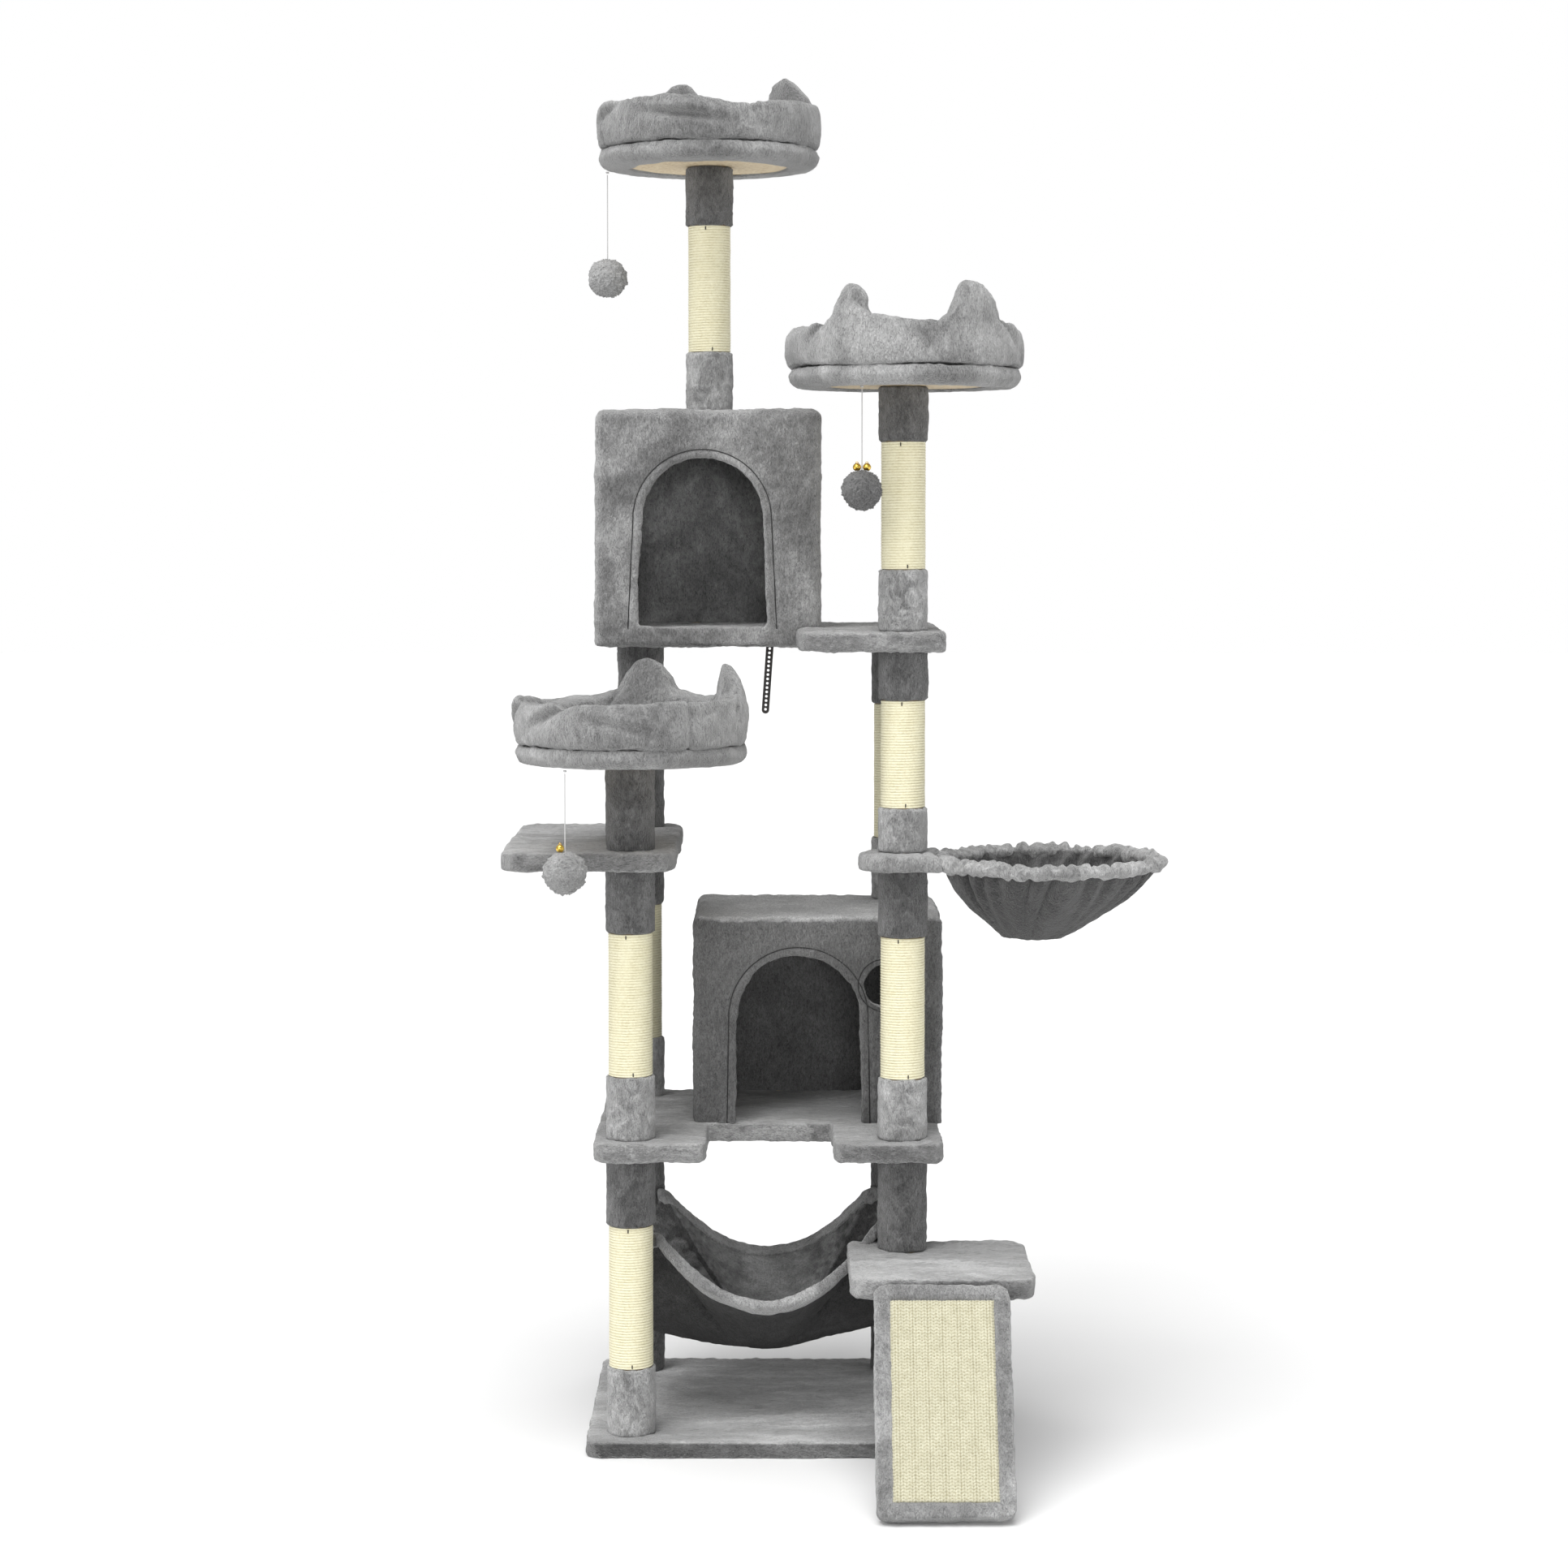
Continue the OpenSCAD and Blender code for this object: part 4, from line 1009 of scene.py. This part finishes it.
# Slices in a bolster, steps between two points of a slice, and the steps of a slice on its inner side
SLICES, SLICE_STEPS, INNER_STEPS = 380, 6, (32, 66)


def spline_loop(points, steps):
    """A smooth closed curve through points, with an even number of steps between each two."""
    p = np.asarray(points, float)
    before, after, next_one = np.roll(p, 1, 0), np.roll(p, -1, 0), np.roll(p, -2, 0)
    t = (np.arange(steps) / steps)[None, :, None]
    a, b, c, d = (q[:, None] for q in (before, p, after, next_one))
    curve = 0.5 * (2 * b + (c - a) * t + (2 * a - 5 * b + 4 * c - d) * t ** 2
                   + (3 * b - a - 3 * c + d) * t ** 3)
    return curve.reshape(-1, p.shape[1])


def angle_gap(a, b):
    """How far two directions are apart, from -180 to 180 degrees."""
    return (a - b + 180) % 360 - 180


def bolster_section(r, wall, ear, curl):
    """One slice through the stuffed wall, as (radius, height) points."""
    h = wall + ear
    lean = curl * (ear / 0.05) ** 2
    return [
        (r - 0.001, -0.0005), (r + 0.0035, 0.007), (r + 0.006, 0.45 * wall), (r + 0.004, 0.84 * wall),
        (r - 0.001 - 0.5 * lean, wall + 0.55 * ear), (r - 0.010 - lean, h - 0.002),
        (r - 0.024 - lean, h - 0.003), (r - 0.034 - 0.5 * lean, wall * 0.86 + 0.45 * ear),
        (r - 0.039, 0.62 * wall), (r - 0.041, 0.28 * wall), (r - 0.037, 0.001), (r - 0.020, -0.001)
    ]


def bolster_slices(side, seed, r):
    """Slices through a perch's wall in all directions, as (radius, height) points."""
    ears, _, sinks, _ = PERCHES[side]
    rng = np.random.default_rng(seed)
    waves = [(k, rng.normal() * 0.0016 / math.sqrt(k), rng.uniform(0, TAU)) for k in (2, 3, 5, 7, 11)]
    slices = []
    for angle in np.arange(SLICES) * 360 / SLICES:
        a = math.radians(angle)
        wall = 0.067 + sum(size * math.cos(k * a + shift) for k, size, shift in waves)
        wall -= sum(deep * bump(angle_gap(angle, to), wide) for to, wide, deep in sinks)
        ear, curl = 0.0, 0.0
        for direction, before, after, height, bend in ears:
            gap = angle_gap(angle, direction)
            away = abs(gap) / (after if gap > 0 else before)
            skirt = 1 - float(smooth_step(np.array(away / 2)))
            shape = (0.6 * max(0.0, 1 - away ** 2.5) + 0.4 * skirt) * height
            if shape > ear:
                ear, curl = shape, bend
        slices.append(spline_loop(bolster_section(r, wall, ear, curl), SLICE_STEPS))
    return np.array(slices)


def bolster_folds(side, at, r):
    """How deep the folds, the creases and the stitched join are pressed in at each point."""
    ears, creases, _, seam = PERCHES[side]
    bearing = np.degrees(np.arctan2(at[:, 1], at[:, 0]))

    def along(direction):
        return np.radians(angle_gap(bearing, direction)) * r

    pressed = 0.0045 * bump(along(seam), 0.0022) + 0.002 * bump(at[:, 2] - 0.0005, 0.0025)
    for direction, before, after, *_ in ears:
        for offset, slope in ((-1.3 * before, 0.8), (1.3 * after, -0.8)):
            line = along(direction + offset) - slope * (at[:, 2] - 0.056)
            pressed += 0.005 * bump(line, 0.006) * bump(at[:, 2] - 0.058, 0.020)
    for middle, height, slope, length, depth in creases:
        reach, slant = along(middle), math.hypot(1, slope)
        across = (at[:, 2] - height - slope * reach) / slant
        pressed += depth * bump(across, 0.0065) * bump(reach * slant, length)
        pressed -= 0.45 * depth * bump(across - 0.012, 0.008) * bump(reach * slant, length)
    return pressed


def make_bolster(side, seed):
    """The stuffed wall of a perch: two ears, a dip between them, folds and a stitched join."""
    node = side + "_perch_bolster"
    centre, r, _ = perch_place(side)
    slices = bolster_slices(side, seed, r)
    columns = slices.shape[1]
    turn = np.arange(SLICES)[:, None] * TAU / SLICES
    points = np.stack([slices[..., 0] * np.cos(turn), slices[..., 0] * np.sin(turn), slices[..., 1]], axis=-1)
    mesh = mesh_from(node, points.reshape(-1, 3), grid_faces(SLICES, columns, True, True))
    mesh.materials.append(None)
    mesh.materials.append(None)
    at, out = coordinates(mesh), normals(mesh)
    soft = 0.003 * lattice_noise(at, 0.055, seed + 1) + 0.0012 * lattice_noise(at, 0.02, seed + 2)
    pile = 0.0010 * lattice_noise(at, 0.009, seed + 3) + 0.0008 * lattice_noise(at, 0.0045, seed + 4)
    move_to(mesh, at + out * (soft + pile - bolster_folds(side, at, r))[:, None] + np.array(centre))
    # The faces on the inner side of the wall get the darker plush, painted shade inside the perch.
    steps = np.arange(columns)
    inside = np.tile((steps > INNER_STEPS[0]) & (steps < INNER_STEPS[1]), SLICES)
    mesh.polygons.foreach_set("material_index", inside[:len(mesh.polygons)].astype(np.int32))
    made = piece(side + "_bolster", mesh, "plush", replaced=node, also=["inner_shade_plush"])


def perch_place(side):
    """Middle of the top of a perch's cover, its radius and the cover's lower edge."""
    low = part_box(side + "_perch_bolster")[0]
    for bottom, top in islands("perch_covers"):
        if bottom[2] < low.z < top[2] + 0.02 and top[2] - bottom[2] > 0.02 and abs(top[2] - low.z) < 0.002:
            centre = ((bottom[0] + top[0]) / 2, (bottom[1] + top[1]) / 2, float(low.z))
            return centre, (top[0] - bottom[0]) / 2, float(bottom[2])
    raise ValueError(side)


def make_perch_cover(side, seed):
    """The perch's covered board: a soft rim, a padded floor and a hem turned under the edge."""
    centre, r, bottom = perch_place(side)
    thick = centre[2] - bottom
    hem, board = 0.050, 0.003
    profile = [(0.0005, thick - 0.004)]
    profile += [(x, thick - 0.004 + 0.0025 * (x / r) ** 4) for x in np.linspace(0.004, r - 0.012, 44)]
    profile += [(r - 0.004, thick - 0.0010), (r - 0.0005, thick - 0.0025)]
    profile += [(r + 0.0005 + 0.0025 * math.sin(math.pi * t), thick - 0.005 - (thick - 0.013) * t)
                for t in np.linspace(0, 1, 8)]
    profile += [(r - 0.003, 0.0035), (r - 0.008, 0.0005)]
    profile += [(x, 0.0) for x in np.linspace(r - 0.012, r - hem + 0.003, 9)]
    profile += [(r - hem, board)]
    around = 340
    turn = np.arange(around) * TAU / around
    points = np.array([[(x * math.cos(a), x * math.sin(a), z) for a in turn] for x, z in profile])
    count = len(profile)
    faces = grid_faces(count, around, False, True)
    faces.append(list(range(around)))
    mesh = mesh_from("cover", points.reshape(-1, 3), faces)
    at, out = coordinates(mesh), normals(mesh)
    under = (at[:, 2] < 0.002)
    wave = 0.006 * lattice_noise(at * np.array([1, 1, 0.0]), 0.03, seed) * bump(
        np.linalg.norm(at[:, :2], axis=1) - (r - hem), 0.012)
    lift = 0.0013 * lattice_noise(at, 0.03, seed + 1) + 0.0010 * lattice_noise(at, 0.009, seed + 2)
    lift += 0.0007 * lattice_noise(at, 0.0045, seed + 3)
    at = at + out * (lift * np.where(under, 0.4, 1.0))[:, None]
    direction = at[:, :2] / np.maximum(np.linalg.norm(at[:, :2], axis=1), 1e-6)[:, None]
    at[:, :2] += direction * wave[:, None]
    move_to(mesh, at + np.array([centre[0], centre[1], bottom]))
    made = piece(side + "_perch_plush", mesh, "plush", replaced="perch_covers")


def make_perches():
    for i, side in enumerate(PERCHES):
        make_perch_cover(side, 300 + 20 * i)
        make_bolster(side, 400 + 20 * i)


# ---------------------------------------------------------------- basket

def basket_place():
    """Centre of the hoop's wire, and its radius."""
    low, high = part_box("basket_hoop")
    reach = (high.y - low.y) / 2
    wire = (high.z - low.z) / 2
    return np.array([high.x - reach, (low.y + high.y) / 2, (low.z + high.z) / 2]), reach - wire


def gathers(count, seed):
    """Bearings of the gathers round the hoop and how deep each one is."""
    rng = np.random.default_rng(seed)
    bearing = (np.arange(count) + rng.uniform(-0.45, 0.45, count)) * TAU / count
    return bearing, rng.uniform(0.35, 1.0, count)


def gathered(turn, lines, width):
    """How strongly each bearing is drawn in by the gathers, from 0 to 1."""
    total = np.zeros_like(turn)
    for bearing, depth in zip(*lines):
        gap = (turn - bearing + math.pi) % TAU - math.pi
        total = np.maximum(total, depth * np.exp(-(gap / width) ** 2))
    return total


# The sack's floor: its radius, and how far it lies off the hoop's middle along X
FLOOR_R, FLOOR_SHIFT = 0.047, -0.024


def sack_rings(depth, hoop, turn, lines, offset):
    """Rings of one side of the sack, from the hoop down to the middle of its floor."""
    lean = 0.13 * np.sin(3 * turn + 1.0) + 0.08 * np.sin(7 * turn)
    rings = []
    for t in np.linspace(0.0, 1, 46):
        a = t * math.pi / 2
        r = FLOOR_R + (hoop - 0.002 - FLOOR_R) * (1 - t ** 1.6) + offset * math.cos(a)
        pull = gathered(turn + lean * t, lines, 0.048 + 0.05 * t)
        belly = 0.5 - 0.5 * np.cos(np.clip(t / 0.8, 0, 1) * TAU * 0.5)
        fold = (0.0150 * (1 - t) ** 0.7 * min(1, 0.25 + t * 8) + 0.0020) * pull * (1 - 0.4 * belly)
        fold -= 0.0035 * (1 - pull) * math.sin(a) * (1 - t)
        r = r - fold * math.cos(a) ** 0.5
        z = -(depth + offset) * t + 0.5 * fold * math.sin(a)
        rings.append(np.stack([FLOOR_SHIFT * t ** 1.3 + r * np.cos(turn), r * np.sin(turn), z], axis=-1))
    for r in np.linspace(FLOOR_R, 0.002, 12)[1:]:
        ripple = 0.0012 * np.cos(turn * 9 + 1) * (r / FLOOR_R)
        z = -(depth + offset) + 0.002 * (1 - r / FLOOR_R) + ripple
        rings.append(np.stack([FLOOR_SHIFT + r * np.cos(turn), r * np.sin(turn), z], axis=-1))
    return np.array(rings)


def make_sack(centre, hoop, depth, turn, lines):
    """The gathered sack: an outer and an inner side that meet at the hoop."""
    around = len(turn)
    outside, inside = (sack_rings(depth, hoop, turn, lines, offset) for offset in (0.0, -0.005))
    rows = len(outside)
    count = rows * around
    faces = grid_faces(rows, around, False, True) + grid_faces(rows, around, False, True, start=count)
    faces += [[i, (i + 1) % around, (i + 1) % around + count, i + count] for i in range(around)]
    last = (rows - 1) * around
    faces += [list(range(last, last + around)), list(range(count + last, count + last + around))]
    mesh = mesh_from("sack", np.concatenate([outside, inside]).reshape(-1, 3), faces)
    at, out = coordinates(mesh), normals(mesh)
    lift = 0.0016 * lattice_noise(at, 0.03, 501) + 0.0008 * lattice_noise(at, 0.01, 502)
    lift += 0.0005 * lattice_noise(at, 0.005, 503)
    move_to(mesh, at + out * lift[:, None] + centre)
    sack = piece("basket_sack_plush", mesh, "shade_plush", replaced="basket_sack")


def make_basket():
    centre, hoop = basket_place()
    low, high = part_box("basket_sack")
    roll = high.z - centre[2]
    bearing, depth = gathers(48, 7)
    around = 480
    turn = np.arange(around) * TAU / around
    make_roll(centre, hoop, roll, (bearing, depth), turn)
    make_sack(centre, hoop, centre[2] - low.z, turn, (bearing[::2], depth[::2]))
    make_bracket(centre, hoop + roll)


def make_roll(centre, hoop, roll, lines, turn):
    """The rolled hem on the hoop, puffed between its gathers."""
    around, ring = len(turn), 26
    slice_turn = np.arange(ring) * TAU / ring
    pull = gathered(turn, lines, 0.034)
    ring_line = np.stack([np.cos(turn), np.sin(turn), 0 * turn], axis=1) * hoop
    slow = lattice_noise(ring_line, 0.05, 508)
    puff = roll * (0.95 + 0.14 * slow - 0.32 * pull)
    drop = 0.0025 * pull + 0.0030 * lattice_noise(ring_line, 0.035, 509)
    r = hoop + puff[:, None] * np.cos(slice_turn)[None]
    z = puff[:, None] * 0.95 * np.sin(slice_turn)[None] - drop[:, None]
    points = np.stack([r * np.cos(turn)[:, None], r * np.sin(turn)[:, None], z], axis=-1)
    mesh = mesh_from("roll", points.reshape(-1, 3), grid_faces(around, ring, True, True))
    at, out = coordinates(mesh), normals(mesh)
    lift = 0.0036 * lattice_noise(at, 0.014, 511) + 0.0018 * lattice_noise(at, 0.006, 512)
    move_to(mesh, at + out * lift[:, None] + centre)
    piece("basket_roll", mesh, "sleeve_plush")


def make_bracket(hoop_centre, reach):
    """The covered bracket between the post and the hoop, hollowed where the roll lies."""
    low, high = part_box("basket_bracket_cover")
    r = (high.y - low.y) / 2
    x, y = low.x + r, (low.y + high.y) / 2
    bearing = np.degrees(np.arcsin(r / reach))
    outline = arc((x, y), r, 90, 270, 25) + arc((hoop_centre[0], y), reach, 180 + bearing, 180 - bearing, 15)
    mesh = make_slab("bracket", [outline], low.z, high.z, 520, grow=0.0005)
    piece("bracket_plush", mesh, "plush", replaced="basket_bracket_cover")


# ---------------------------------------------------------------- hammock

# The four sewn corners, at the loops on the posts: front left, front right, back left, back right
HAMMOCK_CORNERS = np.array([(-0.172, -0.160, 0.308), (0.180, -0.154, 0.330), (-0.172, 0.160, 0.314),
                            (0.172, 0.160, 0.314)])
HAMMOCK_CUT = (0.446, 0.490)
HAMMOCK_THICK = 0.007


def sagged_hammock(columns, rows):
    """The hammock's middle surface by formula: hems that dip and a belly between them."""
    u, v = np.meshgrid(np.linspace(-1, 1, columns), np.linspace(-1, 1, rows))
    a, b = (u + 1) / 2, (v + 1) / 2
    c = HAMMOCK_CORNERS
    weight = [(1 - a) * (1 - b), a * (1 - b), (1 - a) * b, a * b]
    flat = sum(w[..., None] * p for w, p in zip(weight, c))

    def dip(t):
        return np.cos(t * math.pi / 2) ** 2

    sag = (0.106 * (1 - b) + 0.086 * b) * dip(u) + 0.152 * dip(v) - 0.074 * dip(u) * dip(v)
    move = np.stack([-0.014 * u * (1 - v * v), -0.040 * v * (1 - np.abs(u) ** 6), -sag], axis=-1)
    return (flat + move).reshape(-1, 3)


# Frame at which the corners have reached their loops, and the last frame of the simulation
DRAWN_IN_BY, HANGS_UNTIL = 30, 75


def hung_by_cloth(rows, columns):
    """Lets the sheet, cut flat, hang from its corners, which are brought together to their loops."""
    width, length = HAMMOCK_CUT
    u, v = np.meshgrid(np.linspace(-0.5, 0.5, columns), np.linspace(-0.5, 0.5, rows))
    start = HAMMOCK_CORNERS.mean(0) + np.stack([u * width, v * length, 0.02 * u * u], axis=-1).reshape(-1, 3)
    mesh = mesh_from("cloth", start, grid_faces(rows, columns))
    cloth = placed("cloth", mesh)
    cloth.shape_key_add(name="Basis")
    hung = cloth.shape_key_add(name="hung")
    hung.data.foreach_set("co", sagged_hammock(columns, rows).astype(np.float32).ravel())
    hung.value = 0.0
    hung.keyframe_insert("value", frame=1)
    hung.value = 1.0
    hung.keyframe_insert("value", frame=DRAWN_IN_BY)
    pins = cloth.vertex_groups.new(name="pins")
    for i, j in itertools.product((0, rows - 1), (0, columns - 1)):
        for di, dj in itertools.product((0, 1), (0, 1)):
            pins.add([abs(i - di) * columns + abs(j - dj)], 1.0, "REPLACE")
    modifier = cloth.modifiers.new("cloth", "CLOTH")
    settings = modifier.settings
    settings.quality = 10
    settings.mass = 0.35
    settings.tension_stiffness = settings.compression_stiffness = 60
    settings.shear_stiffness = 30
    settings.bending_stiffness = 2.0
    settings.air_damping = 6
    settings.vertex_group_mass = "pins"
    modifier.collision_settings.use_collision = False
    modifier.point_cache.frame_start, modifier.point_cache.frame_end = 1, HANGS_UNTIL
    scene = bpy.context.scene
    for number in range(1, HANGS_UNTIL + 1):
        scene.frame_set(number)
    ready = cloth.evaluated_get(bpy.context.evaluated_depsgraph_get())
    at = coordinates(bpy.data.meshes.new_from_object(ready))
    bpy.data.objects.remove(cloth)
    scene.frame_set(1)
    return at


def thick_cloth(mesh, levels, thickness):
    """A surface smoothed and given thickness on both sides, with its pile raised."""
    result = applied(mesh, ("SUBSURF", {"levels": levels, "render_levels": levels}),
                     ("SOLIDIFY", {"thickness": thickness, "offset": 0}))
    raise_pile(result, 600, depth=0.0008, slack=0.002)
    return result


def make_hammock():
    columns, rows = 61, 71
    middle = sagged_hammock(columns, rows)
    middle = hung_by_cloth(rows, columns)
    under_hems = 2 * (columns - 1)
    mesh = mesh_from("hammock", middle, grid_faces(rows, columns)[under_hems:-under_hems])
    result = thick_cloth(mesh, 1, HAMMOCK_THICK)
    for edge, chosen in (("front", slice(0, 4)), ("back", slice(rows - 4, rows))):
        make_hem("hammock_" + edge + "_hem", middle.reshape(rows, columns, 3)[chosen])
    hammock = piece("hammock_plush", result, "hammock_plush", replaced="hammock")
    for i, corner in enumerate(HAMMOCK_CORNERS):
        make_tab("hammock_tab_%d" % i, corner)


def make_hem(name, band):
    """The folded edge of the hammock: a fuller strip along its last rows."""
    rows, columns = band.shape[:2]
    mesh = mesh_from(name, band.reshape(-1, 3), grid_faces(rows, columns))
    result = thick_cloth(mesh, 2, HAMMOCK_THICK + 0.0075)
    piece(name, result, "plush")


def make_tab(name, corner):
    """A short band that holds a hammock's corner against the inner side of its post."""
    low, high = min(islands("hammock"), key=lambda b: abs((b[0] + b[1])[2] / 2 - corner[2]) + 9 * np.hypot(
        *((b[0] + b[1])[:2] / 2 - corner[:2])))
    centre, r = (low + high) / 2, (high[0] - low[0]) / 2 - 0.0012
    toward = math.atan2(corner[1] - centre[1], corner[0] - centre[0])
    side = math.copysign(1, corner[1]) * math.copysign(1, corner[0])
    turn = toward + np.linspace(-0.5, 0.5, 15) + 0.1 * side
    profile = [(0.0, low[2]), (0.0022, low[2] + 0.001), (0.0022, high[2] - 0.001), (0.0, high[2])]
    points = [[(centre[0] + (r + out) * math.cos(a), centre[1] + (r + out) * math.sin(a), z) for a in turn]
              for out, z in profile]
    faces = grid_faces(4, 15, True, False) + [[0, 15, 30, 45], [14, 29, 44, 59]]
    piece(name, mesh_from(name, np.array(points).reshape(-1, 3), faces), "shade_plush")


# ---------------------------------------------------------------- small parts

def dress_frame():
    """Materials for the CAD nodes that stay in view or inside the covers."""
    look_of_slot = {
        "particle_board": "wood", "cardboard": "card", "steel": "steel", "black_strap": "strap",
        "grey_plush": "plush", "dark_plush": "shade_plush", "sisal_rope": "sisal", "sisal_mat": "mat",
        "white_elastic": "cord", "pompom": "pompom", "gold_bell": "gold",
    }
    for part in frame["record"]["subparts"]:
        node = frame["nodes"][part["node"]]
        look = MATERIALS[look_of_slot[part["material_slot"]]]
        for slot in node.material_slots:
            slot.material = look


def make_stage():
    """A pale floor, a white world and large soft lamps."""
    mesh = bpy.data.meshes.new("floor")
    size = 30.0
    mesh.from_pydata([(-size, -size, 0), (size, -size, 0), (size, size, 0), (-size, size, 0)], [],
                     [(0, 1, 2, 3)])
    floor = placed("floor", mesh)
    n = Nodes("floor")
    n.set(Roughness=0.9, Specular_IOR_Level=0.1)
    n.colour(n.ramp(n.noise(2.0), (0.0, grey(0.86)), (1.0, grey(0.90))))
    mesh.materials.append(n.material)
    floor.location.z = -0.0005
    world = bpy.data.worlds.new("world")
    world.use_nodes = True
    tree = world.node_tree
    background = tree.nodes["Background"]
    background.inputs["Strength"].default_value = 0.52
    seen = tree.nodes.new("ShaderNodeBackground")
    pick = tree.nodes.new("ShaderNodeMixShader")
    rays = tree.nodes.new("ShaderNodeLightPath")
    for shade in (background, seen):
        shade.inputs["Color"].default_value = (1, 1, 1, 1)
    tree.links.new(rays.outputs["Is Camera Ray"], pick.inputs[0])
    tree.links.new(background.outputs[0], pick.inputs[1])
    tree.links.new(seen.outputs[0], pick.inputs[2])
    tree.links.new(pick.outputs[0], tree.nodes["World Output"].inputs["Surface"])
    bpy.context.scene.world = world
    lamps = (("top", (-0.35, -0.75, 2.2), 45, 2.3), ("key", (-1.6, -2.6, 1.7), 30, 0.6),
             ("front", (0.2, -3.0, 0.25), 12, 0.55))
    for name, toward, spread, power in lamps:
        light = bpy.data.lights.new(name, "SUN")
        light.angle = math.radians(spread)
        light.energy = power
        lamp = placed(name, light)
        lamp.rotation_euler = (-Vector(toward)).to_track_quat("-Z", "Y").to_euler()
    bpy.context.scene.view_settings.view_transform = "Standard"


make_camera()
make_toys()
dress_frame()
make_boards()
make_ramp()
make_houses()
make_posts()
make_perches()
make_basket()
make_hammock()
make_stage()
